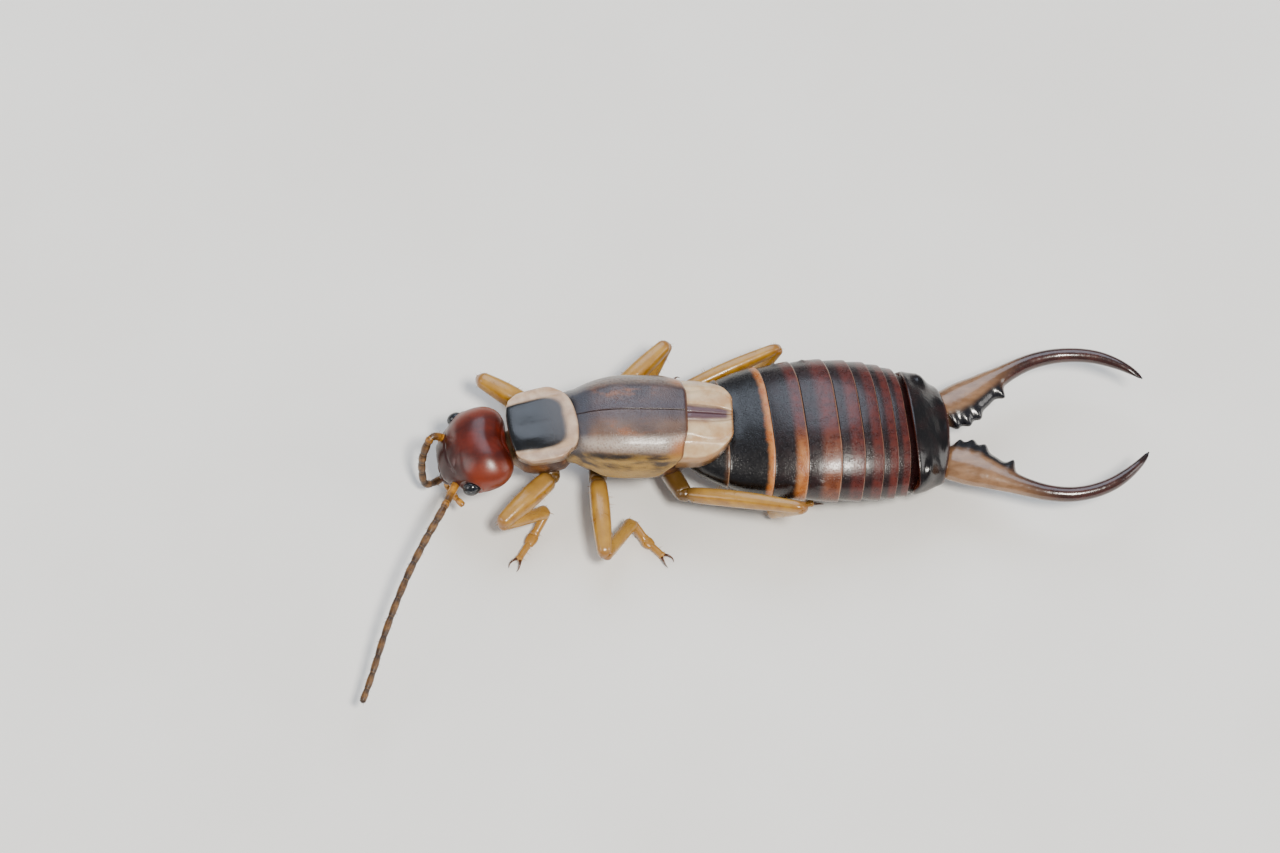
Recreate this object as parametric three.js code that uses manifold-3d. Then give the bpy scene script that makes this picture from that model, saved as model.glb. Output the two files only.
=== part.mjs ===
// A male common earwig at life size, standing with its forceps open.
// Millimetres, +Z up. The head faces -X, the tail +X, and the animal's left side is -Y.
// Body plates, limbs and feelers are separate closed meshes, parted at their joints by thin cuts.
import * as THREE from "three";
import { mergeVertices } from "three/addons/utils/BufferGeometryUtils.js";
import Module from "manifold-3d";

const wasm = await Module();
wasm.setup();

// Driving sizes of the animal
const GAP = 0.1; // thin cut between neighbouring pieces
const THORAX_FRONT = -1.44; // where the front wings start, on the long axis
const ELYTRA_REAR = 1.12; // where the front wings are cut off square
const WING_TIP = 2.28; // how far the folded hind wings show behind them
const CREST = 3.0; // height of the front wings' seam over the floor
const ELYTRON_FLAT = 1.12; // half width of the flat top of the front wings
const ELYTRON_WIDE = 1.43; // half width at their turned-down sides
const ELYTRON_SKIRT = 1.02; // depth of the turned-down side below the crest
const PLATE = 0.46; // thickness of the wing plates
const HEAD_CENTRE = [-4.08, -0.6, 1.86];
const HEAD_YAW = 10; // degrees that head and shield turn to the animal's left
const HEAD_PITCH = 22; // degrees that the face points down
const HEAD_HALF_WIDTH = 1.13;
const ABDOMEN_START = 1.16;
const ABDOMEN_YAW = 2.6; // degrees that the abdomen bends to the animal's right
const ABDOMEN_BOW = 0.05; // how far its middle bows to the left of that line
const FORCEPS_LENGTH = 5.15;
const FORCEPS_YAW = 5;
const FORCEPS_RISE = 3;

const rad = THREE.MathUtils.degToRad;
const vec = (x, y, z) => new THREE.Vector3(x, y, z);
const at = (a) => vec(a[0], a[1], a[2]);
const clamp = (x, low, high) => Math.min(high, Math.max(low, x));
const smooth = (x, low, high) => {
  const t = clamp((x - low) / (high - low), 0, 1);
  return t * t * (3 - 2 * t);
};
// Smooth interpolation through [x, value] pairs
function along(table, x) {
  const n = table.length;
  if (x <= table[0][0]) return table[0][1];
  if (x >= table[n - 1][0]) return table[n - 1][1];
  const i = table.findIndex((p) => p[0] > x) - 1;
  const slope = (k) =>
    k <= 0 || k >= n - 1 ? 0 : (table[k + 1][1] - table[k - 1][1]) / (table[k + 1][0] - table[k - 1][0]);
  const h = table[i + 1][0] - table[i][0];
  const t = (x - table[i][0]) / h;
  const a = (2 * t ** 3 - 3 * t ** 2 + 1) * table[i][1] + (t ** 3 - 2 * t ** 2 + t) * h * slope(i);
  return a + (-2 * t ** 3 + 3 * t ** 2) * table[i + 1][1] + (t ** 3 - t ** 2) * h * slope(i + 1);
}

// Meshes and solids
function geometryOf(points, faces) {
  const g = new THREE.BufferGeometry();
  g.setAttribute("position", new THREE.Float32BufferAttribute(points.flatMap((p) => [p.x, p.y, p.z]), 3));
  g.setIndex(faces.flat());
  return g;
}
function solidOf(geometry) {
  const g = geometry.clone();
  g.deleteAttribute("normal");
  g.deleteAttribute("uv");
  const merged = mergeVertices(g, 1e-4);
  return new wasm.Manifold(
    new wasm.Mesh({
      numProp: 3,
      vertProperties: new Float32Array(merged.attributes.position.array),
      triVerts: new Uint32Array(merged.index.array),
    }),
  );
}
const largest = (solid) =>
  solid.decompose().reduce((best, body) => (body.volume() > best.volume() ? body : best));
function geometryOfSolid(solid) {
  const m = solid.getMesh();
  const g = new THREE.BufferGeometry();
  g.setAttribute("position", new THREE.BufferAttribute(new Float32Array(m.vertProperties), 3));
  g.setIndex(new THREE.BufferAttribute(new Uint32Array(m.triVerts), 1));
  return g;
}
// Keeps the side of a plane that its normal points away from
const cutAt = (solid, point, normal) => {
  const n = normal.clone().normalize().negate();
  return solid.trimByPlane([n.x, n.y, n.z], point.dot(n));
};

// The same stations swollen on all sides, to cut a neighbour back from them
const swollen = (stations, by) =>
  stations.map((s, i) => {
    const p = s.p.clone();
    const inner = i === 0 ? 1 : stations.length - 2;
    if (i === 0 || i === stations.length - 1)
      p.addScaledVector(s.p.clone().sub(stations[inner].p).normalize(), by);
    return { ...s, p, w: s.w + by, top: s.top + by, low: s.low + by };
  });

// A closed skin over rings of points, each station {p, side, up, w, top, low, power}
function loft(stations, sides = 16) {
  const points = [];
  const faces = [];
  for (const s of stations) {
    for (let k = 0; k < sides; k++) {
      const a = (2 * Math.PI * k) / sides;
      const c = Math.cos(a);
      const d = Math.sin(a);
      const e = 2 / (s.power ?? 2);
      const x = s.w * Math.sign(c) * Math.abs(c) ** e;
      const y = (d > 0 ? s.top : s.low) * Math.sign(d) * Math.abs(d) ** e;
      points.push(s.p.clone().addScaledVector(s.side, x).addScaledVector(s.up, y));
    }
  }
  const last = stations.length - 1;
  for (let i = 0; i < last; i++)
    for (let k = 0; k < sides; k++) {
      const m = (k + 1) % sides;
      const [a, b, c, d] = [i * sides + k, i * sides + m, (i + 1) * sides + m, (i + 1) * sides + k];
      faces.push([a, b, c], [a, c, d]);
    }
  for (const [i, turned] of [[0, true], [last, false]]) {
    const pole = points.length;
    points.push(stations[i].p.clone());
    for (let k = 0; k < sides; k++) {
      const [a, b] = [i * sides + k, i * sides + ((k + 1) % sides)];
      faces.push(turned ? [pole, b, a] : [pole, a, b]);
    }
  }
  return geometryOf(points, faces);
}
// A limb along a smooth curve; size(t) gives half width and half height, round ends included
function limb(route, size, steps, sides) {
  const curve = new THREE.CatmullRomCurve3(route.map(at));
  const stations = [];
  for (let i = 0; i <= steps; i++) {
    const t = i / steps;
    const p = curve.getPointAt(t);
    const tangent = curve.getTangentAt(t);
    const side = vec(0, 0, 1).cross(tangent).normalize();
    const over = tangent.clone().cross(side);
    const [w, h] = size(t);
    stations.push({ p, side, up: over, w, top: h, low: h });
  }
  return loft(stations, sides);
}
// A bent plate between an outer and an inner sheet, both split into triangles alike
function plate(outer, inner, across, lengthwise) {
  const points = [];
  const faces = [];
  const index = (layer, i, j) => layer * (across + 1) * (lengthwise + 1) + i * (lengthwise + 1) + j;
  for (const sheet of [outer, inner])
    for (let i = 0; i <= across; i++)
      for (let j = 0; j <= lengthwise; j++) points.push(sheet(i / across, j / lengthwise));
  const quad = (a, b, c, d) => faces.push([a, b, c], [a, c, d]);
  for (let i = 0; i < across; i++)
    for (let j = 0; j < lengthwise; j++) {
      quad(index(0, i, j), index(0, i + 1, j), index(0, i + 1, j + 1), index(0, i, j + 1));
      faces.push(
        [index(1, i, j), index(1, i + 1, j + 1), index(1, i + 1, j)],
        [index(1, i, j), index(1, i, j + 1), index(1, i + 1, j + 1)],
      );
    }
  for (let i = 0; i < across; i++) {
    quad(index(0, i, 0), index(1, i, 0), index(1, i + 1, 0), index(0, i + 1, 0));
    const j = lengthwise;
    quad(index(0, i, j), index(0, i + 1, j), index(1, i + 1, j), index(1, i, j));
  }
  for (let j = 0; j < lengthwise; j++) {
    quad(index(0, 0, j), index(0, 0, j + 1), index(1, 0, j + 1), index(1, 0, j));
    const i = across;
    quad(index(0, i, j), index(1, i, j), index(1, i, j + 1), index(0, i, j + 1));
  }
  return geometryOf(points, faces);
}
// Turns a mesh right way out where its parametrisation ran the other way
function outward(geometry) {
  if (solidOf(geometry).volume() > 0) return geometry;
  const f = geometry.index.array;
  for (let i = 0; i < f.length; i += 3) [f[i + 1], f[i + 2]] = [f[i + 2], f[i + 1]];
  return geometry;
}
const ball = (centre, x, y, z, detail = 10) =>
  new THREE.SphereGeometry(1, detail + 4, detail).scale(x, y, z).translate(centre.x, centre.y, centre.z);

// Materials: chitin of each colour
const chitin = (color, roughness) => new THREE.MeshStandardMaterial({ color, roughness, metalness: 0 });
const RED_BROWN = chitin(0x7a2410, 0.25);
const BLACK = chitin(0x0c0a0c, 0.2);
const SHIELD = chitin(0xc2a88c, 0.35);
const TAWNY = chitin(0x8a6444, 0.35);
const CREAM = chitin(0xd8b890, 0.4);
const AMBER = chitin(0xb8781c, 0.3);
const DARK_BROWN = chitin(0x2a100c, 0.25);
const HORN = chitin(0x7a3e20, 0.25);

const model = new THREE.Group();
const body = new THREE.Group();
model.add(body);
function addNode(name, geometry, material) {
  const mesh = new THREE.Mesh(geometry, material);
  mesh.name = name;
  body.add(mesh);
  return mesh;
}

// Head frame: forward along the face, right is the animal's right
const yaw = rad(HEAD_YAW);
const pitch = rad(HEAD_PITCH);
// The way ahead for a part turned to the animal's left by one angle and down by another
const ahead = (turned, down) =>
  vec(-Math.cos(down) * Math.cos(turned), -Math.cos(down) * Math.sin(turned), -Math.sin(down));
const HEAD_FORWARD = ahead(yaw, pitch);
const HEAD_RIGHT = vec(-Math.sin(yaw), Math.cos(yaw), 0);
const HEAD_UP = HEAD_RIGHT.clone().cross(HEAD_FORWARD);
const inHead = (forward, right, up) =>
  at(HEAD_CENTRE)
    .addScaledVector(HEAD_FORWARD, forward)
    .addScaledVector(HEAD_RIGHT, right)
    .addScaledVector(HEAD_UP, up);

// Head capsule: two rounded temples behind the eyes with a notch between, narrowing to the face
const HEAD_WIDTHS = [[-0.86, 0.42], [-0.82, 0.66], [-0.7, 0.9], [-0.45, 1.08], [-0.1, HEAD_HALF_WIDTH],
  [0.25, 1.07], [0.5, 0.9], [0.72, 0.7], [0.9, 0.56], [1.0, 0.46], [1.04, 0.28]];
const HEAD_TOPS = [[-0.86, 0.12], [-0.82, 0.22], [-0.7, 0.36], [-0.45, 0.53], [-0.1, 0.62], [0.25, 0.6],
  [0.5, 0.5], [0.72, 0.38], [0.9, 0.26], [1.0, 0.16], [1.04, 0.08]];
const HEAD_LOWS = [[-0.86, 0.3], [-0.7, 0.48], [-0.45, 0.6], [-0.1, 0.66], [0.25, 0.64], [0.5, 0.56],
  [0.72, 0.46], [0.9, 0.34], [1.0, 0.22], [1.04, 0.12]];
const NOTCH_DEPTH = 0.16;
const NOTCH_HALF_WIDTH = 0.42;
function headCapsule(grow) {
  const rows = [-0.86, -0.82, -0.74, -0.6, -0.4, -0.15, 0.1, 0.3, 0.48, 0.64, 0.8, 0.94, 1.04];
  const stations = rows.map((u) => ({
    p: inHead(u, 0, 0),
    side: HEAD_RIGHT,
    up: HEAD_UP,
    w: along(HEAD_WIDTHS, u),
    top: along(HEAD_TOPS, u),
    low: along(HEAD_LOWS, u),
    power: 2.2,
  }));
  const g = loft(swollen(stations, grow), 24);
  const pos = g.attributes.position;
  const p = vec(0, 0, 0);
  for (let i = 0; i < pos.count; i++) {
    p.fromBufferAttribute(pos, i).sub(at(HEAD_CENTRE));
    const back = smooth(-p.dot(HEAD_FORWARD), 0.25, 0.86);
    const right = p.dot(HEAD_RIGHT);
    const notch = NOTCH_DEPTH * back * Math.exp(-((right / NOTCH_HALF_WIDTH) ** 2));
    p.addScaledVector(HEAD_FORWARD, notch).add(at(HEAD_CENTRE));
    pos.setXYZ(i, p.x, p.y, p.z);
  }
  return outward(g);
}
const EYE_SIZE = [0.24, 0.15, 0.19]; // along the head, out from it, up
const EYE_PLACE = [0.34, 1.0, 0.06];
const eyeFrame = new THREE.Matrix4().makeBasis(HEAD_FORWARD, HEAD_RIGHT, HEAD_UP);
function eye(side, grow) {
  const g = new THREE.SphereGeometry(1, 14, 10);
  const [f, r, u] = EYE_SIZE.map((x) => x + grow);
  const place = inHead(EYE_PLACE[0], side * EYE_PLACE[1], EYE_PLACE[2]);
  return g.scale(f, r, u).applyMatrix4(eyeFrame).translate(place.x, place.y, place.z);
}
const ANTENNA_ROOT = [0.74, 0.62, -0.06]; // in the head's frame, right side
let head = solidOf(headCapsule(0));
for (const side of [-1, 1]) head = head.subtract(solidOf(outward(eye(side, GAP))));
addNode("head", geometryOfSolid(largest(head)), RED_BROWN);
addNode("eye_left", outward(eye(-1, 0)), BLACK);
addNode("eye_right", outward(eye(1, 0)), BLACK);

// Mouthparts: upper lip and jaws under it, with two palps on each side
const MOUTH_HEIGHT = -0.44; // their middle, in the head's frame
const LONG_PALP = [[0.85, 0.2, -0.5], [1.02, 0.62, -0.66], [0.82, 0.96, -0.72]]; // root, bend and tip
const SHORT_PALP = [[0.95, 0.12, -0.56], [1.16, 0.26, -0.8], [1.02, 0.4, -0.92]];
function palp(side, places) {
  const route = places.map(([f, r, u]) => inHead(f, side * r, u).toArray());
  const size = (t) => {
    const r = (0.16 - 0.07 * t) * Math.sqrt(clamp(t < 0.5 ? 1 : (1 - t) * 5, 0.05, 1));
    return [r, r];
  };
  return solidOf(outward(limb(route, size, 6, 6)));
}
function mouthparts() {
  const rows = [[0.62, 0.34, 0.2], [0.8, 0.42, 0.26], [1.0, 0.42, 0.28], [1.16, 0.36, 0.24],
    [1.28, 0.22, 0.14]];
  const stations = rows.map(([u, w, h]) => ({
    p: inHead(u, 0, MOUTH_HEIGHT),
    side: HEAD_RIGHT,
    up: HEAD_UP,
    w,
    top: h,
    low: h,
    power: 2.6,
  }));
  let solid = solidOf(outward(loft(stations, 16)));
  for (const side of [-1, 1]) solid = solid.add(palp(side, LONG_PALP)).add(palp(side, SHORT_PALP));
  return largest(solid.subtract(solidOf(headCapsule(GAP))));
}
addNode("mouthparts", geometryOfSolid(mouthparts()), RED_BROWN);

// Feelers: a long first joint, a short second, and twelve beads that lengthen towards the tip
const ANTENNA_JOINTS = [0.14, 0.03, 0.065, 0.055, 0.06, 0.068, 0.074, 0.078, 0.08, 0.08, 0.078, 0.072,
  0.066, 0.054]; // lengths of the joints, as shares
const ANTENNA_THICK = 0.235; // half thickness
function antenna(route) {
  const sum = (lengths) => lengths.reduce((a, b) => a + b, 0);
  const ends = ANTENNA_JOINTS.map((_, i) => sum(ANTENNA_JOINTS.slice(0, i + 1)) / sum(ANTENNA_JOINTS));
  const size = (t) => {
    const k = Math.min(ends.findIndex((e) => t <= e + 1e-9), ANTENNA_JOINTS.length - 1);
    const start = k === 0 ? 0 : ends[k - 1];
    const inside = (t - start) / (ends[k] - start);
    const bead = 0.76 + 0.24 * Math.sin(Math.PI * clamp(inside, 0.02, 0.98)) ** 0.6;
    const r = ANTENNA_THICK * bead * (1 - 0.42 * smooth(t, 0.55, 1));
    const tip = t > 0.985 ? 0.4 : 1;
    return [r * tip, r * tip];
  };
  return outward(limb(route, size, 56, 6));
}
const ANTENNA_LEFT = [[-4.98, -2.29, 1.88], [-5.49, -3.23, 1.76], [-5.92, -4.13, 1.62],
  [-6.43, -5.44, 1.38], [-6.79, -6.57, 1.14], [-7.04, -7.27, 0.98]];
const ANTENNA_RIGHT = [[-5.2, -0.3, 2.0], [-5.4, -0.55, 1.6], [-5.42, -0.74, 1.1], [-5.3, -0.86, 0.62],
  [-4.95, -0.62, 0.38], [-4.3, -0.02, 0.34], [-3.75, 0.5, 0.34], [-3.3, 1.0, 0.34]];
const aroundHead = solidOf(headCapsule(GAP));
for (const [name, side, route] of [["left", -1, ANTENNA_LEFT], ["right", 1, ANTENNA_RIGHT]]) {
  const root = inHead(ANTENNA_ROOT[0], side * ANTENNA_ROOT[1], ANTENNA_ROOT[2]);
  const feeler = solidOf(antenna([root.toArray(), ...route])).subtract(aroundHead);
  addNode(`antenna_${name}`, geometryOfSolid(largest(feeler)), AMBER);
}

// Shield over the first body ring, with a flat rim
const shieldYaw = rad(HEAD_YAW - 0.4);
const SHIELD_CENTRE = [-2.585, -0.27, 2.6];
const SHIELD_PITCH = rad(8);
const SHIELD_FORWARD = ahead(shieldYaw, SHIELD_PITCH);
const SHIELD_RIGHT = vec(-Math.sin(shieldYaw), Math.cos(shieldYaw), 0);
const SHIELD_UP = SHIELD_RIGHT.clone().cross(SHIELD_FORWARD);
const SHIELD_HALF_LENGTH = 0.7;
const SHIELD_HALF_WIDTH = 1.03;
const SHIELD_THICK = 0.4;
const inShield = (forward, right, up) =>
  at(SHIELD_CENTRE)
    .addScaledVector(SHIELD_FORWARD, forward)
    .addScaledVector(SHIELD_RIGHT, right)
    .addScaledVector(SHIELD_UP, up);
function shieldSheet(thick) {
  return (i, j) => {
    const a = 2 * i - 1; // across, -1 to 1
    const b = 2 * j - 1; // from the rear edge to the front edge
    const bow = (0.07 * smooth(b, 0, 1) - 0.2 * smooth(-b, 0, 1)) * (1 - a * a); // both edges bow
    const corner = 1 - 0.08 * smooth(b, 0.5, 1) - 0.14 * smooth(-b, 0.45, 1) ** 2;
    const right = a * (SHIELD_HALF_WIDTH - 0.035 * b) * (1 - (1 - corner) * Math.abs(a) ** 3);
    const forward = SHIELD_HALF_LENGTH * b * (1 - 0.05 * Math.abs(a) ** 4) + bow;
    const dome = 0.1 * (1 - Math.abs(a) ** 2.2) * (1 - 0.5 * b ** 4);
    const swell = 0.05 * smooth(b, 0.2, 0.9) * (1 - a * a);
    const rim = 0.04 * smooth(Math.abs(a), 0.8, 1);
    return inShield(forward, right, dome + swell + rim - thick * (1 - 0.35 * smooth(b, 0.2, 1)));
  };
}
addNode("pronotum", outward(plate(shieldSheet(0), shieldSheet(SHIELD_THICK), 12, 9)), SHIELD);

// First body ring under the shield, with the collar that carries the head
const FIRST_RING_DROP = 0.9; // its middle, under the shield
function prothorax(grow) {
  const rows = [[0.96, 0.3, 0.26, 0.3], [0.8, 0.4, 0.32, 0.4], [0.55, 0.62, 0.36, 0.6],
    [0.1, 0.74, 0.38, 0.72], [-0.35, 0.76, 0.38, 0.74], [-0.56, 0.66, 0.34, 0.62],
    [-0.66, 0.5, 0.26, 0.46]];
  const stations = rows.map(([f, w, top, low]) => ({
    p: inShield(f, 0, -FIRST_RING_DROP),
    side: SHIELD_RIGHT,
    up: SHIELD_UP,
    w,
    top,
    low,
    power: 2.4,
  }));
  return outward(loft(swollen(stations, grow), 20));
}
const prothoraxSolid = largest(solidOf(prothorax(0)).subtract(aroundHead));
addNode("prothorax", geometryOfSolid(prothoraxSolid), DARK_BROWN);

// Second and third body rings, hidden above by the wings
const THORAX_MIDDLE = 1.66;
function pterothorax(grow) {
  const rows = [[-1.62, 0.5, 0.42], [-1.5, 0.72, 0.56], [-1.0, 0.86, 0.68], [-0.3, 0.88, 0.7],
    [0.4, 0.88, 0.7], [0.85, 0.84, 0.62], [1.0, 0.74, 0.54]];
  const stations = rows.map(([x, w, h]) => ({
    p: vec(x, 0, THORAX_MIDDLE),
    side: vec(0, 1, 0),
    up: vec(0, 0, 1),
    w,
    top: h,
    low: h,
    power: 2.6,
  }));
  return outward(loft(swollen(stations, grow), 20));
}
addNode("thorax", pterothorax(0), DARK_BROWN);

// Front wings: leathery plates that meet along the back and turn down at the sides
const ELYTRON_BEND = 0.66; // share of the plate that lies flat
const ELYTRON_ROUND = 0.28; // drop of the rounded shoulder between the flat top and the side
const shoulder = (x) => smooth(x, THORAX_FRONT, THORAX_FRONT + 0.5);
function elytronOutline(x) {
  const front = 0.9 + 0.1 * shoulder(x);
  const rear = 1 - 0.1 * smooth(x, ELYTRA_REAR - 0.9, ELYTRA_REAR) ** 2;
  return front * rear;
}
// One point of the wing's cross-section: s runs 0 at the seam to 1 at the lower edge of the side
function elytronSection(s, inset, x) {
  const flat = Math.min(s / ELYTRON_BEND, 1);
  const down = clamp((s - ELYTRON_BEND) / (1 - ELYTRON_BEND), 0, 1);
  const fallen = CREST - 0.12 * flat ** 2 - 0.16 * smooth(flat, 0.75, 1);
  const flare = (ELYTRON_WIDE - ELYTRON_FLAT) * Math.sin((down * Math.PI) / 2) ** 0.9;
  const y = (ELYTRON_FLAT * flat + flare) * elytronOutline(x);
  const z = fallen - (ELYTRON_SKIRT - ELYTRON_ROUND) * down ** 1.1;
  const tilt = (Math.PI / 2) * 0.92 * smooth(s, ELYTRON_BEND - 0.12, ELYTRON_BEND + 0.16);
  return [y - inset * Math.sin(tilt), z - inset * Math.cos(tilt)];
}
function elytronSheet(side, inset) {
  return (i, j) => {
    // Both edges run back from the corners of the turned-down side, which are round
    const rearEdge = ELYTRA_REAR - 0.5 * smooth(i, 0.6, 1) ** 2;
    const frontEdge = THORAX_FRONT - 0.17 * smooth(i, 0.15, 0.66) + 0.5 * smooth(i, 0.68, 1) ** 2;
    const x = frontEdge + (rearEdge - frontEdge) * j;
    const frontDip = 0.26 * (1 - smooth(x, THORAX_FRONT, THORAX_FRONT + 0.75));
    const dip = frontDip + 0.03 * smooth(x, 0.4, ELYTRA_REAR);
    const [y, z] = elytronSection(i, inset, x);
    return vec(x, side * (y + GAP / 2), z - dip);
  };
}
for (const [name, side] of [["left", -1], ["right", 1]]) {
  const wing = plate(elytronSheet(side, 0), elytronSheet(side, PLATE), 12, 9);
  addNode(`elytron_${name}`, outward(wing), TAWNY);
}

// Tips of the folded hind wings, sticking out behind the front wings
const WING_HALF_WIDTH = 1.14;
const WING_THICK = 0.4;
function wingTipSheet(side, thick) {
  return (i, j) => {
    const start = ELYTRA_REAR + GAP;
    const reach = (WING_TIP - start) * (1 - 0.02 * i) * j;
    const y = i * WING_HALF_WIDTH * Math.sqrt(1 - 0.84 * (j * 0.985) ** 2.4);
    const droop = 0.2 * (y / WING_HALF_WIDTH) ** 2 * (1 - 0.2 * j) + 0.22 * smooth(y, 0.75, 1.2);
    const z = CREST - 0.12 - 0.12 * j - droop;
    return vec(start + reach - 0.05 * i * i * (1 - j), side * (y + GAP / 2), z - thick * (1 - 0.35 * j));
  };
}
for (const [name, side] of [["left", -1], ["right", 1]]) {
  const wing = plate(wingTipSheet(side, 0), wingTipSheet(side, WING_THICK), 8, 7);
  addNode(`wing_tip_${name}`, outward(wing), CREAM);
}

// Abdomen: rings that slide into one another like a telescope, each rear edge standing proud
const RING_ENDS = [2.1, 3.17, 4.0, 4.83, 5.42, 5.9, 6.28, 6.6]; // rear edges of the back plates
const RING_STEP = 0.06;
const RING_NECK = 0.015; // run of the step behind each rear edge
const ABDOMEN_LENGTH = 6.5; // over which its middle bows
const ABDOMEN_WIDTHS = [[ABDOMEN_START, 0.98], [1.5, 1.22], [2.3, 1.6], [3.0, 1.8], [3.6, 1.88],
  [4.3, 1.96], [5.0, 1.97], [6.07, 1.89], [6.7, 1.74], [7.1, 1.62], [7.62, 1.4]];
const ABDOMEN_TOPS = [[ABDOMEN_START, 2.22], [2.3, 2.3], [2.8, 2.46], [3.6, 2.7], [4.5, 2.8],
  [5.5, 2.72], [6.5, 2.46], [7.1, 2.2], [7.62, 1.84]];
const ABDOMEN_LOWS = [[ABDOMEN_START, 1.16], [2.3, 1.0], [3.5, 0.88], [4.5, 0.8], [5.5, 0.72],
  [6.5, 0.64], [7.1, 0.62], [7.62, 0.74]];
const abdomenYaw = rad(ABDOMEN_YAW);
const abdomenSide = vec(-Math.sin(abdomenYaw), Math.cos(abdomenYaw), 0);
const abdomenAxis = (x) => {
  const run = x - ABDOMEN_START;
  return run * Math.tan(abdomenYaw) - ABDOMEN_BOW * Math.sin((Math.PI * run) / ABDOMEN_LENGTH);
};
function abdomenStation(x, shrink) {
  const top = along(ABDOMEN_TOPS, x);
  const low = along(ABDOMEN_LOWS, x);
  const half = (top - low) / 2;
  return {
    p: vec(x, abdomenAxis(x), (top + low) / 2),
    side: abdomenSide,
    up: vec(0, 0, 1),
    w: along(ABDOMEN_WIDTHS, x) - shrink,
    top: half - shrink,
    low: half - shrink,
    power: 2.1,
  };
}
function abdomen() {
  const stations = [abdomenStation(ABDOMEN_START, 0.32), abdomenStation(ABDOMEN_START + 0.08, 0.1)];
  let start = ABDOMEN_START + 0.1;
  for (const end of RING_ENDS) {
    const rows = Math.max(2, Math.round((end - start) / 0.26));
    for (let k = 1; k <= rows; k++) {
      const x = start + ((end - start) * k) / rows;
      stations.push(abdomenStation(x, RING_STEP * (1 - k / rows)));
    }
    start = end + RING_NECK;
    stations.push(abdomenStation(start, RING_STEP));
  }
  const rear = RING_ENDS[RING_ENDS.length - 1];
  stations.push(abdomenStation(rear + 0.06, 0.3));
  return outward(loft(stations, 26));
}
addNode("abdomen", abdomen(), DARK_BROWN);

// Last back plate: a broad dark box with a knob over the root of each forceps arm
const TAIL_START = RING_ENDS[RING_ENDS.length - 1] + 0.06 + GAP;
const TAIL_END = 7.66;
const KNOB_PLACE = [7.28, 1.12, 1.86]; // along, out from the middle and up
const KNOB_SIZE = [0.3, 0.24, 0.26];
function lastRing() {
  const rows = [[0, 0.28], [0.03, 0.04], [0.25, 0], [0.5, 0], [0.75, 0], [0.92, 0.02], [0.98, 0.08],
    [1, 0.26]];
  const placed = (t) => TAIL_START + (TAIL_END - TAIL_START) * t;
  const stations = rows.map(([t, shrink]) => abdomenStation(placed(t), shrink));
  let solid = solidOf(outward(loft(stations, 26)));
  const [x, out, z] = KNOB_PLACE;
  for (const side of [-1, 1]) {
    const p = vec(x, abdomenAxis(x), z).addScaledVector(abdomenSide, side * out);
    solid = solid.add(solidOf(outward(ball(p, ...KNOB_SIZE))));
  }
  return solid;
}

// Forceps: each arm is broad and toothed at its root, then slender and bowed, with the tip turned in
const forcepsYaw = rad(FORCEPS_YAW);
const FORCEPS_HEIGHT = 1.24;
const FORCEPS_ROOT = vec(TAIL_END, abdomenAxis(TAIL_END), FORCEPS_HEIGHT);
const forcepsSlope = Math.tan(rad(FORCEPS_RISE));
const FORCEPS_AHEAD = vec(Math.cos(forcepsYaw), Math.sin(forcepsYaw), forcepsSlope).normalize();
const FORCEPS_SIDE = vec(-Math.sin(forcepsYaw), Math.cos(forcepsYaw), 0);
const FORCEPS_UP = FORCEPS_AHEAD.clone().cross(FORCEPS_SIDE);
const inForceps = (forward, right, up) =>
  FORCEPS_ROOT.clone()
    .addScaledVector(FORCEPS_AHEAD, forward)
    .addScaledVector(FORCEPS_SIDE, right)
    .addScaledVector(FORCEPS_UP, up);
const ARM_LINE = [[GAP, 0.74], [0.5, 0.92], [1.0, 1.18], [1.5, 1.5], [2.0, 1.77], [2.5, 1.97],
  [3.05, 2.07], [3.6, 2.04], [4.1, 1.9], [4.55, 1.65], [4.9, 1.37], [FORCEPS_LENGTH, 1.1]];
const ARM_WIDTHS = [[0, 0.36], [0.04, 0.5], [0.14, 0.56], [0.26, 0.44], [0.34, 0.33], [0.44, 0.27],
  [0.6, 0.24], [0.8, 0.22], [0.92, 0.14], [1, 0.04]];
const ARM_HEIGHTS = [[0, 0.28], [0.06, 0.36], [0.2, 0.33], [0.34, 0.27], [0.6, 0.24], [0.8, 0.22],
  [0.92, 0.14], [1, 0.04]];
const ARM_TEETH = [[0.2, 0.3, 0.15], [0.42, 0.42, 0.13], [0.64, 0.56, 0.11], [0.86, 0.69, 0.1],
  [1.5, 1.0, 0.2]]; // place along the arm, place out from the middle, radius
const ARM_SPREAD = { left: 1, right: 0.93 }; // the right arm is held a little further in
const ARM_STRETCH = { left: 1, right: 1.03 };
function cercus(name, side) {
  const route = ARM_LINE.map(([s, w]) => {
    const lift = 0.1 * Math.sin((Math.PI * s) / FORCEPS_LENGTH) + 0.14 * smooth(s, 3, FORCEPS_LENGTH);
    return inForceps(s * ARM_STRETCH[name], side * w * ARM_SPREAD[name], lift).toArray();
  });
  const size = (t) => [along(ARM_WIDTHS, t), along(ARM_HEIGHTS, t)];
  let solid = solidOf(outward(limb(route, size, 30, 12)));
  for (const [s, w, r] of ARM_TEETH) {
    const p = inForceps(s, side * w * ARM_SPREAD[name], -0.02);
    solid = solid.add(solidOf(outward(ball(p, r, r, r * 1.1, 6))));
  }
  return solid;
}
const lastRingSolid = lastRing();
addNode("last_tergite", geometryOfSolid(largest(lastRingSolid)), DARK_BROWN);
const behindRing = vec(1, 0, 0);
for (const [name, side] of [["left", -1], ["right", 1]]) {
  const trimmed = cutAt(cercus(name, side), vec(TAIL_END + GAP, 0, 0), behindRing.clone().negate());
  addNode(`cercus_${name}`, geometryOfSolid(largest(trimmed)), HORN);
}

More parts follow.
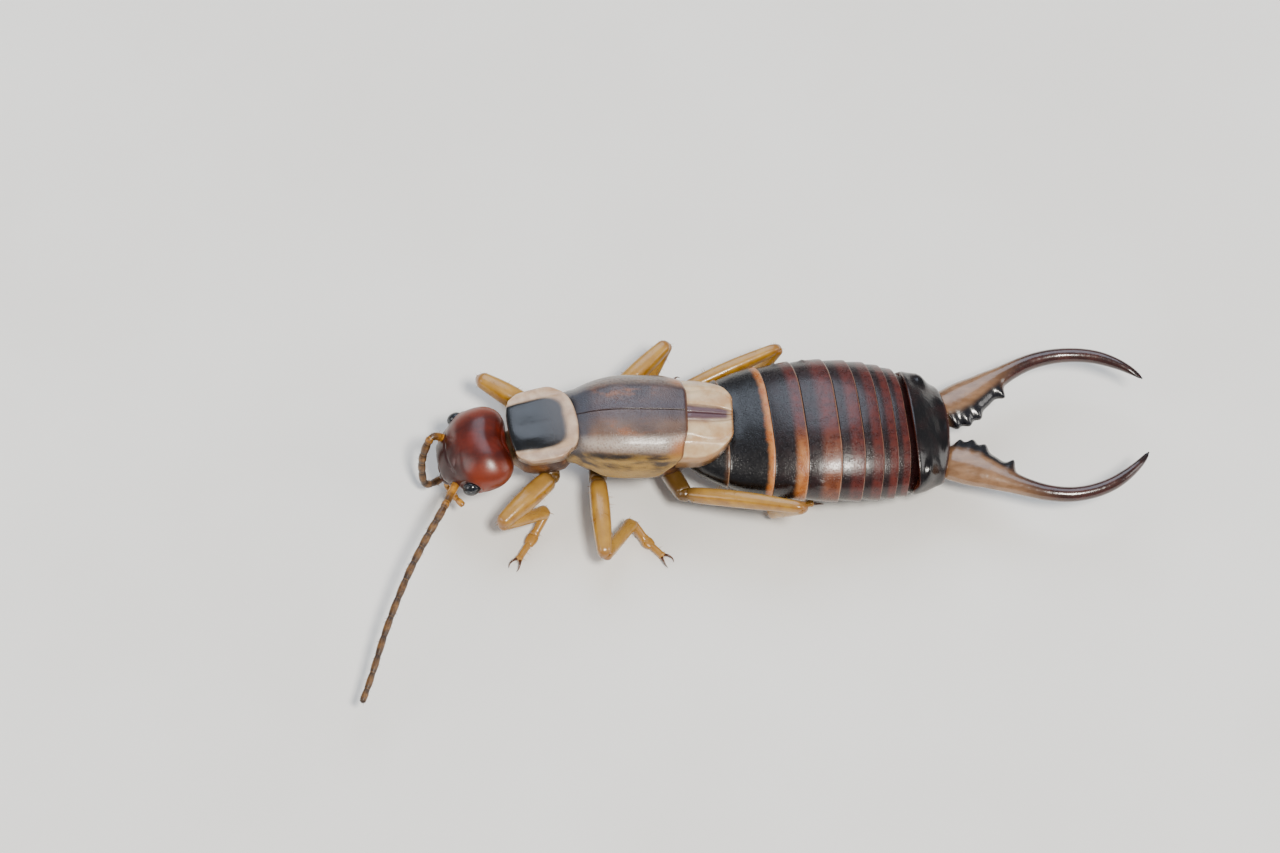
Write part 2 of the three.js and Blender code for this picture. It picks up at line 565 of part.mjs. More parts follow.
// Legs: hip, thigh, shin and a three-jointed foot with two claws, folded as the animal grips
const LEGS = {
  // Hip, root of the thigh, knee, ankle and tip of the foot
  front_left: [[-2.3, -0.62, 1.3], [-2.18, -1.02, 1.3], [-3.5, -2.34, 1.2], [-2.26, -1.54, 0.46],
    [-3.0, -2.76, 0.12]],
  front_right: [[-2.5, 0.24, 1.3], [-2.4, 0.72, 1.32], [-3.97, 1.6, 1.66], [-2.9, 1.6, 0.46],
    [-3.35, 2.2, 0.12]],
  middle_left: [[-1.0, -0.7, 1.2], [-1.04, -1.1, 1.3], [-0.92, -3.21, 1.2], [-0.13, -1.84, 0.46],
    [0.66, -2.62, 0.12]],
  middle_right: [[-0.9, 0.7, 1.2], [-0.72, 1.12, 1.34], [0.8, 2.57, 1.8], [0.25, 1.9, 0.46],
    [1.1, 2.38, 0.12]],
  hind_left: [[0.75, -0.7, 1.15], [1.12, -1.5, 1.34], [3.98, -2.42, 2.34], [3.4, -1.5, 0.46],
    [4.5, -1.02, 0.12]],
  hind_right: [[0.75, 0.7, 1.15], [1.12, 1.48, 1.26], [3.62, 2.54, 1.72], [3.0, 2.3, 0.46],
    [4.1, 2.75, 0.12]],
};
const HIP_HALF = 0.3;
const THIGH_HALF = { front: [0.27, 0.26], middle: [0.26, 0.25], hind: [0.24, 0.24] };
const SHIN_HALF = 0.22;
const FOOT_HALF = 0.2;
const SOLE_HEIGHT = 0.15; // the foot's axis over the floor, which cuts its sole flat
const roundEnds = (t, share) => Math.sqrt(clamp(1 - (1 - Math.min(t, 1 - t) / share) ** 2, 0.12, 1));
const withRound = (t, share) => (Math.min(t, 1 - t) >= share ? 1 : roundEnds(t, share));
function straightLimb(a, b, halves, bulge, steps, sides) {
  const size = (t) => {
    const swell = 1 - bulge + bulge * Math.sin(Math.PI * clamp(0.15 + 0.75 * t, 0, 1));
    const k = swell * withRound(t, 0.12);
    return [halves[0] * k, halves[1] * k];
  };
  const route = [a, a.clone().lerp(b, 0.5), b].map((p) => p.toArray());
  return solidOf(outward(limb(route, size, steps, sides)));
}
// Parts two neighbouring limbs with one cut on the plane that mirrors one onto the other
function miter(first, second, joint, before, after) {
  const inward = joint.clone().sub(before).normalize();
  const normal = after.clone().sub(joint).normalize().add(inward).normalize();
  const half = normal.clone().multiplyScalar(GAP / 2);
  const near = cutAt(first, joint.clone().sub(half), normal);
  const far = cutAt(second, joint.clone().add(half), normal.clone().negate());
  return [near, far];
}
// Foot joints: a long first, a short heart-shaped second and a slim third
const FOOT_JOINTS = [0, 0.5, 0.68, 1]; // ends of the three joints, as shares of the foot
const CLAW = [[-0.12, 0, 0], [0.1, 0.09, 0.02], [0.26, 0.12, -0.1]]; // ahead of the tip, out, up
function foot(ankle, tip) {
  const heel = ankle.clone().lerp(tip, 0.45);
  heel.z = SOLE_HEIGHT;
  const route = [ankle, heel, tip].map((p) => p.toArray());
  const size = (t) => {
    const n = clamp(FOOT_JOINTS.findIndex((end) => end > t), 1, 3);
    const inside = (t - FOOT_JOINTS[n - 1]) / (FOOT_JOINTS[n] - FOOT_JOINTS[n - 1]);
    const joints = 0.84 + 0.16 * Math.abs(Math.cos(Math.PI * clamp(inside, 0, 1)));
    const k = joints * (1 - 0.35 * smooth(t, 0.7, 1)) * withRound(t, 0.08);
    return [FOOT_HALF * k, FOOT_HALF * k];
  };
  let solid = solidOf(outward(limb(route, size, 14, 8)));
  const flat = tip.clone().sub(ankle).setZ(0).normalize();
  const across = vec(-flat.y, flat.x, 0);
  for (const side of [-1, 1]) {
    const claw = CLAW.map(([f, s, u]) =>
      tip.clone().addScaledVector(flat, f).addScaledVector(across, side * s).add(vec(0, 0, u)).toArray(),
    );
    const taper = (t) => [0.09 - 0.06 * t, 0.09 - 0.06 * t];
    solid = solid.add(solidOf(outward(limb(claw, taper, 3, 4))));
  }
  return cutAt(solid, vec(0, 0, 0), vec(0, 0, -1));
}
const aroundThorax = [solidOf(prothorax(GAP)), solidOf(pterothorax(GAP))];
for (const [place, leg] of Object.entries(LEGS)) {
  const [hip, root, knee, ankle, tip] = leg.map(at);
  const kind = place.split("_")[0];
  let coxa = straightLimb(hip, root, [HIP_HALF, HIP_HALF], 0.2, 5, 9);
  for (const ring of aroundThorax) coxa = coxa.subtract(ring);
  let thigh = straightLimb(root, knee, THIGH_HALF[kind], 0.3, 12, 10);
  let shin = straightLimb(knee, ankle, [SHIN_HALF, SHIN_HALF], 0.08, 8, 8);
  let sole = foot(ankle, tip);
  [coxa, thigh] = miter(coxa, thigh, root, hip, knee);
  [thigh, shin] = miter(thigh, shin, knee, root, ankle);
  [shin, sole] = miter(shin, sole, ankle, knee, tip);
  const pieces = { coxa, femur: thigh, tibia: shin, tarsus: sole };
  for (const [part, solid] of Object.entries(pieces))
    addNode(`leg_${place}_${part}`, geometryOfSolid(largest(solid)), AMBER);
}

// The origin is under the middle of the whole model, on the floor
const bounds = new THREE.Box3().setFromObject(body);
const middle = bounds.getCenter(vec(0, 0, 0));
body.position.set(-middle.x, -middle.y, -bounds.min.z);

export default model;
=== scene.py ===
import math

import bmesh
import bpy
import numpy as np
from mathutils import Matrix, Vector


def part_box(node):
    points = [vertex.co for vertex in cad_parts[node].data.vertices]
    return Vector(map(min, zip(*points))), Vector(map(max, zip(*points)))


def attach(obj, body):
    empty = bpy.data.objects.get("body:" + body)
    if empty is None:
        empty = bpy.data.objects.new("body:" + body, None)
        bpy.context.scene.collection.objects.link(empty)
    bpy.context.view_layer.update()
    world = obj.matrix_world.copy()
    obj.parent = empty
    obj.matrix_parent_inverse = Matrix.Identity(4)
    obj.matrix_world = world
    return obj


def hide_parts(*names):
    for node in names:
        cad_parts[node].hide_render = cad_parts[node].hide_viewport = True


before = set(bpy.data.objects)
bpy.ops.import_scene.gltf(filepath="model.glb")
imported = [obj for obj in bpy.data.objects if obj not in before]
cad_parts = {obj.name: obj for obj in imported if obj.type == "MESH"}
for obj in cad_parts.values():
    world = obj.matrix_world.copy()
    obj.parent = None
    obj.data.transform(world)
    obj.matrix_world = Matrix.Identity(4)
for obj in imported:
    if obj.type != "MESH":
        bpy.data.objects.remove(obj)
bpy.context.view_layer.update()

# Viewpoint. The animal is seen from above and from its left, turned a little in the picture.
# Everything below is measured in millimetres from a point on the floor under the thorax,
# which the frame's thorax ring gives.
thorax_low, thorax_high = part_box("thorax")
THORAX_FRONT_END = -1.62
ANIMAL = np.array([
    thorax_low[0] * 1000 - THORAX_FRONT_END,
    (thorax_low[1] + thorax_high[1]) * 500,
    0.0,
])
MM = 0.001
VIEW_AZIMUTH = math.radians(-10)
VIEW_ELEVATION = math.radians(60)
VIEW_ROLL = math.radians(9.2)
VIEW_DISTANCE = 220
VIEW_TARGET = (0.0, 0.0, 2.1)
FRAME_WIDTH = 32.0  # width of the picture at the animal
SENSOR_WIDTH = 36.0


def placed(point):
    return Vector((np.array(point, float) + ANIMAL) * MM)


def added(name, data):
    """A new object in the scene."""
    made = bpy.data.objects.new(name, data)
    bpy.context.collection.objects.link(made)
    return made


camera_data = bpy.data.cameras.new("camera")
camera_data.sensor_width = SENSOR_WIDTH
camera_data.lens = SENSOR_WIDTH * VIEW_DISTANCE / FRAME_WIDTH
camera_data.clip_start = 0.01
camera = added("camera", camera_data)
back = Vector((
    math.sin(VIEW_AZIMUTH) * math.cos(VIEW_ELEVATION),
    -math.cos(VIEW_AZIMUTH) * math.cos(VIEW_ELEVATION),
    math.sin(VIEW_ELEVATION),
))
right = Vector((math.cos(VIEW_AZIMUTH), math.sin(VIEW_AZIMUTH), 0))
axes = Matrix((right, back.cross(right), back)).transposed().to_4x4()
turn = Matrix.Rotation(VIEW_ROLL, 4, "Z")
camera.matrix_world = Matrix.Translation(placed(VIEW_TARGET) + back * VIEW_DISTANCE * MM) @ axes @ turn
bpy.context.scene.camera = camera

# Floor and light. A pale board lies under the animal. Soft sky light comes from its far side,
# and one small warm lamp on the near side makes the glints on its plates.
LAMP_TARGET = (1.5, 0, 2)
SKY_COLOUR, SKY_STRENGTH = (0.80, 0.85, 0.92, 1), 0.3
LAMPS = {
    # name: (place, size, watts, colour)
    "sky": ((-30, 230, 300), 300, 0.75, (0.74, 0.84, 1.0)),
    "near_lamp": ((40, -140, 300), 60, 1.25, (1.0, 0.95, 0.87)),
    "face_fill": ((-260, -60, 160), 180, 0.3, (1.0, 0.98, 0.95)),
    "tail_fill": ((260, -40, 130), 160, 0.25, (1.0, 0.97, 0.93)),
}
for lamp_name, (place, size, watts, colour) in LAMPS.items():
    lamp_data = bpy.data.lights.new(lamp_name, "AREA")
    lamp_data.shape = "DISK"
    lamp_data.size = size * MM
    lamp_data.energy = watts
    lamp_data.color = colour
    lamp = added(lamp_name, lamp_data)
    lamp.location = placed(place)
    lamp.rotation_euler = (placed(LAMP_TARGET) - lamp.location).to_track_quat("-Z", "Y").to_euler()
world = bpy.data.worlds.new("studio")
bpy.context.scene.world = world
world.use_nodes = True
background = world.node_tree.nodes["Background"]
background.inputs["Color"].default_value = SKY_COLOUR
background.inputs["Strength"].default_value = SKY_STRENGTH


def linear(code):
    """The linear colour of a six-digit code."""
    parts = [int(code[i:i + 2], 16) / 255 for i in (1, 3, 5)]
    return tuple(c / 12.92 if c <= 0.04045 else ((c + 0.055) / 1.055) ** 2.4 for c in parts) + (1.0,)


class Wire:
    """An output socket of a material, on which Python's arithmetic adds Math nodes."""

    def __init__(self, finish, socket):
        self.finish = finish
        self.socket = socket

    def math(self, operation, *others):
        settings = {"operation": operation}
        return self.finish.node("ShaderNodeMath", settings, dict(enumerate((self, *others))))

    def __add__(self, other):
        return self.math("ADD", other)

    def __sub__(self, other):
        return self.math("SUBTRACT", other)

    def __rsub__(self, other):
        return self.finish.node("ShaderNodeMath", {"operation": "SUBTRACT"}, {0: other, 1: self})

    def __mul__(self, other):
        return self.math("MULTIPLY", other)

    def __pow__(self, other):
        return self.math("POWER", other)

    __radd__ = __add__

    def rise(self, low, high):
        """0 below low, 1 above high and smooth between."""
        settings = {"interpolation_type": "SMOOTHSTEP"}
        sockets = {"Value": self, "From Min": low, "From Max": high}
        return self.finish.node("ShaderNodeMapRange", settings, sockets, "Result")

    def peak(self, middle, width):
        """1 at the middle, falling to 0 at that distance on both sides."""
        return 1 - (self - middle).math("ABSOLUTE").rise(0.0, width)

    def between(self, first, second):
        """The first colour where this is 0 and the second where it is 1."""
        sockets = {0: self, 6: first, 7: second}
        return self.finish.node("ShaderNodeMix", {"data_type": "RGBA"}, sockets, 2)

    def under(self, *layers):
        """This colour with others laid over it, each where its mask is 1."""
        tone = self
        for mask, colour in layers:
            tone = mask.between(tone, colour)
        return tone

    def clouds(self, low, high, first, second):
        """Soft clouds of a second colour on a first, where this runs from low to high."""
        return self.rise(low, high).between(first, second)


NOISE_ROUGHNESS = 0.55


class Finish:
    """A procedural material under construction. Lengths in it are millimetres."""

    def __init__(self, name):
        self.material = bpy.data.materials.new(name)
        self.material.use_nodes = True
        self.tree = self.material.node_tree
        self.tree.nodes.clear()
        place = self.node("ShaderNodeTexCoord", {}, {}, "Object")
        self.place = self.node("ShaderNodeVectorMath", {"operation": "SCALE"}, {0: place, "Scale": 1 / MM})

    def node(self, kind, settings, sockets, output=0):
        """Adds one node: its settings first, then its sockets' values or links."""
        node = self.tree.nodes.new(kind)
        for key, value in settings.items():
            setattr(node, key, value)
        for key, value in sockets.items():
            if isinstance(value, Wire):
                self.tree.links.new(value.socket, node.inputs[key])
            else:
                node.inputs[key].default_value = linear(value) if isinstance(value, str) else value
        return Wire(self, node.outputs[output])

    def mark(self, name):
        """A number stored on the mesh's points."""
        return self.node("ShaderNodeAttribute", {"attribute_name": name}, {}, "Fac")

    def noise(self, scale, detail=3.0, stretch=None):
        place = self.place
        if stretch:
            place = self.node("ShaderNodeVectorMath", {"operation": "MULTIPLY"}, {0: place, 1: stretch})
        sockets = {"Vector": place, "Scale": scale, "Detail": detail, "Roughness": NOISE_ROUGHNESS}
        return self.node("ShaderNodeTexNoise", {}, sockets, "Fac")

    def cells(self, scale):
        return self.node("ShaderNodeTexVoronoi", {}, {"Vector": self.place, "Scale": scale}, "Distance")

    def axis(self, which):
        return self.node("ShaderNodeSeparateXYZ", {}, {0: self.place}, which)

    def surface(self, colour, roughness, reliefs, coat=(0.0, 0.03), specular=0.5, glow=None):
        """Ends the material. Reliefs are (height wire, depth in millimetres) pairs, a coat is its
        weight and roughness, and a glow is the weight, reach and colour of light under the surface."""
        sockets = {"Base Color": colour, "Roughness": roughness, "Specular IOR Level": specular}
        sockets["Coat Weight"], sockets["Coat Roughness"] = coat
        if glow:
            sockets["Subsurface Weight"], reach, sockets["Subsurface Radius"] = glow
            sockets["Subsurface Scale"] = reach * MM
        for height, depth in reliefs:
            bump = {"Height": height, "Distance": depth * MM}
            if "Normal" in sockets:
                bump["Normal"] = sockets["Normal"]
            sockets["Normal"] = self.node("ShaderNodeBump", {}, bump)
        shader = self.node("ShaderNodeBsdfPrincipled", {"subsurface_method": "RANDOM_WALK"}, sockets)
        output = self.tree.nodes.new("ShaderNodeOutputMaterial")
        self.tree.links.new(shader.socket, output.inputs["Surface"])
        return self.material


board = Finish("board")
board_grain = board.noise(0.12, 4.0)
board_tone = board_grain.clouds(0.3, 0.7, "#f2f0eb", "#f7f6f2")
board_paint = board.surface(board_tone, 0.75, [(board.noise(3.0), 0.004)])
BOARD_HALF = 900
board_mesh = bpy.data.meshes.new("floor")
corners = [(-BOARD_HALF, -BOARD_HALF), (BOARD_HALF, -BOARD_HALF),
           (BOARD_HALF, BOARD_HALF), (-BOARD_HALF, BOARD_HALF)]
board_mesh.from_pydata([placed((x, y, 0)) for x, y in corners], [], [(0, 1, 2, 3)])
board_mesh.materials.append(board_paint)
floor = added("floor", board_mesh)

# Abdomen. Ten rings of hard plates slide into one another like a telescope, and the first eight
# back plates show here. Black in front and maroon behind, each has a paler rear band with a
# hair-thin edge. The back plates lap over the belly plates along the flanks.
RING_ENDS = [2.1, 3.17, 4.0, 4.83, 5.42, 5.9, 6.28, 6.6]
RING_STEP = 0.06
RING_ROWS = [0, 0.04, 0.1, 0.18, 0.28, 0.4, 0.52, 0.64, 0.75, 0.84, 0.91, 0.955, 0.98, 0.993, 1.0]
ABDOMEN_START = 1.16
ABDOMEN_LENGTH = 6.5
ABDOMEN_YAW = math.radians(2.6)
ABDOMEN_BOW = 0.05
ABDOMEN_WIDTHS = [(1.16, 0.98), (1.5, 1.22), (2.3, 1.6), (3.0, 1.8), (3.6, 1.88), (4.3, 1.96),
                  (5.0, 1.97), (6.07, 1.89), (6.7, 1.74), (7.1, 1.62), (7.62, 1.4)]
ABDOMEN_TOPS = [(1.16, 2.34), (2.3, 2.42), (2.8, 2.53), (3.6, 2.71), (4.5, 2.8), (5.5, 2.72),
                (6.5, 2.46), (7.1, 2.2), (7.62, 1.84)]
ABDOMEN_LOWS = [(1.16, 1.16), (2.3, 1.0), (3.5, 0.88), (4.5, 0.8), (5.5, 0.72), (6.5, 0.64),
                (7.1, 0.62), (7.62, 0.74)]
ABDOMEN_SIDES = 160
EDGE_BOW = 0.14  # how far the rear edges bow backwards on the back
EDGE_LEAN = 0.1  # how far they lie further forwards on the animal's right
FLANK_SEAM = -0.3  # angle of the back plates' lower edge under the widest line
FLANK_STEP = 0.045  # how far the belly lies under the back plates' lower edge
GLANDS = [(3.62, 0.42), (4.35, 0.42)]  # place along the body and angle of the small scent-gland folds
GLAND_HEIGHT, GLAND_WIDTH = 0.05, 0.07


def eased(t, h, start, start_slope, end, end_slope):
    """The smooth curve over a step of length h, at share t of it."""
    value = (2 * t**3 - 3 * t**2 + 1) * start + (t**3 - 2 * t**2 + t) * h * start_slope
    return value + (-2 * t**3 + 3 * t**2) * end + (t**3 - t**2) * h * end_slope


def along(table, x):
    """Smooth interpolation through (x, value) pairs, level at both ends."""
    xs, ys = (np.array(column, float) for column in zip(*table))
    slopes = np.zeros(len(xs))
    slopes[1:-1] = (ys[2:] - ys[:-2]) / (xs[2:] - xs[:-2])
    x = np.clip(x, xs[0], xs[-1])
    i = np.clip(np.searchsorted(xs, x, "right") - 1, 0, len(xs) - 2)
    h = xs[i + 1] - xs[i]
    return eased((x - xs[i]) / h, h, ys[i], slopes[i], ys[i + 1], slopes[i + 1])


def smooth(x, low, high):
    t = np.clip((np.asarray(x, float) - low) / (high - low), 0, 1)
    return t * t * (3 - 2 * t)


def hump(x, middle, width):
    return np.exp(-(((np.asarray(x, float) - middle) / width) ** 2))


def full_turn(sides):
    return np.linspace(0, 2 * math.pi, sides, endpoint=False)


def unit(v):
    v = np.asarray(v, float)
    return v / np.linalg.norm(v)


BALL_ROWS, BALL_SIDES = 14, 20
POLE_GAP = 0.04  # angle between a ball's pole and its first ring


class Skin:
    """Closed surfaces gathered into one mesh, with numbers marked on their points for the finish."""

    def __init__(self, *mark_names):
        self.points = []
        self.faces = []
        self.marks = {name: [] for name in mark_names}

    def add(self, points, faces, **marks):
        start = len(self.points)
        self.points += [tuple(p) for p in points]
        self.faces += [tuple(start + i for i in face) for face in faces]
        for name, values in self.marks.items():
            values += list(np.broadcast_to(np.asarray(marks.get(name, 0.0), float).ravel(), len(points)))

    def wrap(self, rings, **marks):
        """A closed skin over rings of points, rows x sides x 3, with a pole at each end.

        A mark is one number, a column of them for the rows, a row for the sides, or a whole grid."""
        rings = np.asarray(rings, float)
        rows, sides = rings.shape[:2]
        points = list(rings.reshape(-1, 3)) + [rings[0].mean(0), rings[-1].mean(0)]
        faces = []
        for i in range(rows - 1):
            for k in range(sides):
                m = (k + 1) % sides
                faces.append((i * sides + k, i * sides + m, (i + 1) * sides + m, (i + 1) * sides + k))
        first, last = rows * sides, rows * sides + 1
        for k in range(sides):
            m = (k + 1) % sides
            faces.append((first, m, k))
            faces.append((last, (rows - 1) * sides + k, (rows - 1) * sides + m))
        spread = {}
        for name, value in marks.items():
            grid = np.broadcast_to(np.asarray(value, float), (rows, sides))
            spread[name] = np.concatenate([grid.ravel(), [grid[0].mean(), grid[-1].mean()]])
        self.add(points, faces, **spread)

    def plate(self, outer, inner, **marks):
        """A sheet with thickness between two grids of points, rows x columns x 3."""
        outer, inner = np.asarray(outer, float), np.asarray(inner, float)
        rows, columns = outer.shape[:2]
        size = rows * columns
        faces = []
        for i in range(rows - 1):
            for j in range(columns - 1):
                a, b = i * columns + j, (i + 1) * columns + j
                faces.append((a, b, b + 1, a + 1))
                faces.append((size + a, size + a + 1, size + b + 1, size + b))
        rim = [i * columns for i in range(rows)]
        rim += [(rows - 1) * columns + j for j in range(1, columns)]
        rim += [i * columns + columns - 1 for i in range(rows - 2, -1, -1)]
        rim += [j for j in range(columns - 2, 0, -1)]
        for a, b in zip(rim, rim[1:] + rim[:1]):
            faces.append((b, a, size + a, size + b))
        both = {name: np.tile(np.broadcast_to(value, (rows, columns)).ravel(), 2)
                for name, value in marks.items()}
        self.add(np.concatenate([outer.reshape(-1, 3), inner.reshape(-1, 3)]), faces, **both)

    def ball(self, centre, radii, axes=np.eye(3), **marks):
        """An ellipsoid whose axes are the rows of the given matrix."""
        rings = []
        around = full_turn(BALL_SIDES)
        for a in np.linspace(POLE_GAP, math.pi - POLE_GAP, BALL_ROWS):
            local = np.stack([np.full(BALL_SIDES, math.cos(a)), math.sin(a) * np.cos(around),
                              math.sin(a) * np.sin(around)], 1)
            rings.append(np.asarray(centre) + (local * radii) @ np.asarray(axes))
        self.wrap(rings, **marks)

    def piece(self, name, material):
        """The Blender object, in the frame's metres, faces outwards."""
        mesh = bpy.data.meshes.new(name)
        mesh.from_pydata([tuple((np.array(p) + ANIMAL) * MM) for p in self.points], [], self.faces)
        for mark, values in self.marks.items():
            mesh.attributes.new(mark, "FLOAT", "POINT").data.foreach_set("value", values)
        edit = bmesh.new()
        edit.from_mesh(mesh)
        bmesh.ops.recalc_face_normals(edit, faces=edit.faces)
        edit.to_mesh(mesh)
        edit.free()
        mesh.polygons.foreach_set("use_smooth", [True] * len(mesh.polygons))
        mesh.materials.append(material)
        return added(name, mesh)


def section_ring(centre, side, up, half_width, top, low, sides, power=2.0):
    """One ring round a centre: a rounded box where the power is over 2."""
    a = full_turn(sides)
    c, d = np.cos(a), np.sin(a)
    x = half_width * np.sign(c) * np.abs(c) ** (2 / power)
    y = np.where(d > 0, top, low) * np.sign(d) * np.abs(d) ** (2 / power)
    return np.asarray(centre) + np.outer(x, side) + np.outer(y, up)


def abdomen_axis(x):
    line = (x - ABDOMEN_START) * math.tan(ABDOMEN_YAW)
    return line - ABDOMEN_BOW * math.sin(math.pi * (x - ABDOMEN_START) / ABDOMEN_LENGTH)


abdomen_side = np.array([-math.sin(ABDOMEN_YAW), math.cos(ABDOMEN_YAW), 0])
UP = np.array([0, 0, 1.0])


def abdomen_ring(x, shrink, sides=ABDOMEN_SIDES):
    top, low = along(ABDOMEN_TOPS, x), along(ABDOMEN_LOWS, x)
    half = (top - low) / 2 - shrink
    centre = (x, abdomen_axis(x), (top + low) / 2)
    return section_ring(centre, abdomen_side, UP, along(ABDOMEN_WIDTHS, x) - shrink, half, half, sides, 2.1)


angle = full_turn(ABDOMEN_SIDES)
height_angle = np.arcsin(np.sin(angle))  # a quarter turn on the back, minus that on the belly
on_back = smooth(height_angle, FLANK_SEAM - 0.02, FLANK_SEAM + 0.02)
abdomen_skin = Skin("ring", "body", "rise")
rings, ring_marks, body_marks = [], [], []  # one mark for each row


def abdomen_row(x, fold, fraction, ring_number):
    """One row of the abdomen, folded in by the step and lower under the flank seam."""
    ring = abdomen_ring(x, 0)
    centre = ring.mean(0)
    outward = ring - centre
    outward /= np.linalg.norm(outward, axis=1)[:, None]
    depth = fold * RING_STEP + FLANK_STEP * (1 - on_back) * smooth(FLANK_SEAM - height_angle, 0.0, 0.12)
    groove = 0.02 * hump(height_angle, FLANK_SEAM - 0.03, 0.03)
    lift = np.zeros(ABDOMEN_SIDES)
    for gland_x, gland_angle in GLANDS:
        fold_place = hump(x, gland_x, GLAND_WIDTH) * hump(height_angle, gland_angle, GLAND_WIDTH)
        lift += GLAND_HEIGHT * fold_place
    ring = ring - outward * (depth + groove - lift)[:, None]
    bow = EDGE_BOW * (smooth(height_angle, 0.0, 1.2) - 0.5) - EDGE_LEAN * np.cos(angle)
    ring[:, 0] += bow * smooth(x, 1.3, 2.6)
    rings.append(ring)
    ring_marks.append([fraction])
    body_marks.append([ring_number])


rings.append(abdomen_ring(ABDOMEN_START, 0.32) - (0.2, 0, 0))
ring_marks.append([0])
body_marks.append([0])
start = ABDOMEN_START + 0.1
for number, end in enumerate(RING_ENDS):
    for fraction in RING_ROWS:
        edge_round = 0.35 * smooth(fraction, 0.975, 1.0)
        abdomen_row(start + (end - start) * fraction, 1 - fraction**0.8 + edge_round, fraction, number)
    start = end + 0.012
abdomen_row(RING_ENDS[-1] + 0.02, 1.4, 0.0, len(RING_ENDS))
abdomen_row(RING_ENDS[-1] + 0.24, 1.9, 0.1, len(RING_ENDS))
rings.append(abdomen_ring(RING_ENDS[-1] + 0.26, 0.6))
ring_marks.append([0.1])
body_marks.append([len(RING_ENDS)])
abdomen_skin.wrap(rings, ring=ring_marks, body=body_marks, rise=height_angle)

plates = Finish("abdomen_plates")
fraction, number, rise = plates.mark("ring"), plates.mark("body"), plates.mark("rise")
cloud = plates.noise(5.0, 4.0)
broad = plates.noise(0.9, 3.0)
behind = number.rise(0.6, 3.4)
dark = broad.clouds(0.35, 0.7, "#050405", "#0a080b")
maroon = cloud.clouds(0.35, 0.7, "#170808", "#240d0d")
dark = behind.between(dark, maroon)
tan_band = cloud.clouds(0.35, 0.65, "#a05a26", "#bd7c42")
red_band = cloud.clouds(0.35, 0.65, "#3d1410", "#541e16")
# Painted light: on the second ring the near side shows the tan band colour where the far side shows red.
near_side_light = 1 - (plates.axis("Y") - float(ANIMAL[1])).rise(-1.3, -0.1)
tan_and_light_share = 1 - number.rise(1.1, 2.0) * (1 - near_side_light * (1 - number.rise(2.1, 3.4)) * 0.8)
band = tan_and_light_share.between(red_band, tan_band)
band_start = 0.86 - behind * 0.38 + (cloud - 0.5) * 0.16
band_mask = (fraction - band_start).rise(-0.04 - behind * 0.16, 0.1) * (0.5 + rise.rise(-0.25, 0.3) * 0.5)
first_ring = number.rise(0.4, 0.6)
band_mask = band_mask * (0.12 + first_ring * 0.88) * number.math("LESS_THAN", 7.5)
edge = fraction.rise(0.962, 0.98) * (1 - fraction.rise(0.99, 1.0)) * rise.rise(-0.45, -0.2)
belly = 1 - rise.rise(-0.5, -0.3)
belly_tone = cloud.between("#1c0c08", "#3a1d11")
plate_tone = band_mask.between(dark, band).under((edge * 0.5, "#b08a6c"), (belly * 0.8, belly_tone))
grain = plates.cells(22.0)
plate_rough = 0.22 + (1 - grain) * 0.06 + cloud * 0.08
plate_relief = [(grain.rise(0.0, 0.5), 0.003), (plates.noise(70.0, 2.0), 0.0016),
                (plates.noise(2.5, 2.0), 0.012)]
abdomen_paint = plates.surface(plate_tone, plate_rough, plate_relief, coat=(0.2, 0.14))
abdomen = abdomen_skin.piece("abdomen_skin", abdomen_paint)
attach(abdomen, "root")
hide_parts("abdomen")

# Last back plate. One broad, glossy, nearly black plate closes the abdomen over the roots of the
# forceps, with a knob over each root, a dimple between them and the small end plate below.
TAIL_START = RING_ENDS[-1] + 0.16
TAIL_END = 7.66
TAIL_SIDES = 140
TAIL_ROWS = [(0, 0.2), (0.006, 0.08), (0.02, 0.03), (0.05, 0.01), (0.12, 0), (0.2, 0), (0.3, 0),
             (0.4, 0), (0.5, 0), (0.58, 0), (0.66, 0), (0.73, 0), (0.79, 0), (0.85, 0.005),
             (0.9, 0.015), (0.94, 0.035), (0.97, 0.07), (0.99, 0.13), (1.0, 0.22), (1.0, 0.4),
             (0.985, 0.55)]
KNOB = (0.5, 0.84, 0.17, 0.17, 0.17)  # along the plate, sideways, their widths, and height
DIMPLE = (0.8, 0.0, 0.12, 0.2, -0.07)
TAIL_BOW = 0.2  # how far its rear edge bows backwards in the middle
SIDE_SWELLINGS = [(0.35, 0.93, 0.16, 0.12, 0.05), (0.42, 0.42, 0.2, 0.2, 0.02),
                  (0.9, 0.42, 0.1, 0.16, 0.05)]
tail_skin = Skin("ring", "rise")
tail_rings = []
tail_angle = full_turn(TAIL_SIDES)
for share, shrink in TAIL_ROWS:
    x = TAIL_START + (TAIL_END - TAIL_START) * share
    ring = abdomen_ring(x, shrink, TAIL_SIDES)
    sideways = np.cos(tail_angle)
    upper = smooth(np.sin(tail_angle), 0.0, 0.3)
    lift = np.zeros(TAIL_SIDES)
    for s, w, s_width, w_width, height in (KNOB, DIMPLE, *SIDE_SWELLINGS):
        both_sides = hump(sideways, w, w_width) + (w != 0) * hump(sideways, -w, w_width)
        lift += height * hump(share, s, s_width) * both_sides
    ring[:, 2] += lift * upper * (share < 0.995)
    ring[:, 0] += TAIL_BOW * upper * (1 - sideways**2) * smooth(share, 0.3, 1.0)
    ring[:, 0] += (EDGE_BOW * (upper - 0.5) - EDGE_LEAN * sideways) * (1 - smooth(share, 0.0, 0.6))
    tail_rings.append(ring)
tail_skin.wrap(tail_rings, ring=[[share] for share, _ in TAIL_ROWS], rise=np.sin(tail_angle))
end_plate = (TAIL_END - 0.02, abdomen_axis(TAIL_END), 1.02)
tail_skin.ball(end_plate, (0.16, 0.24, 0.3), ring=0.9, rise=0.2)
tail = Finish("last_plate")
tail_share, tail_height = tail.mark("ring"), tail.mark("rise")
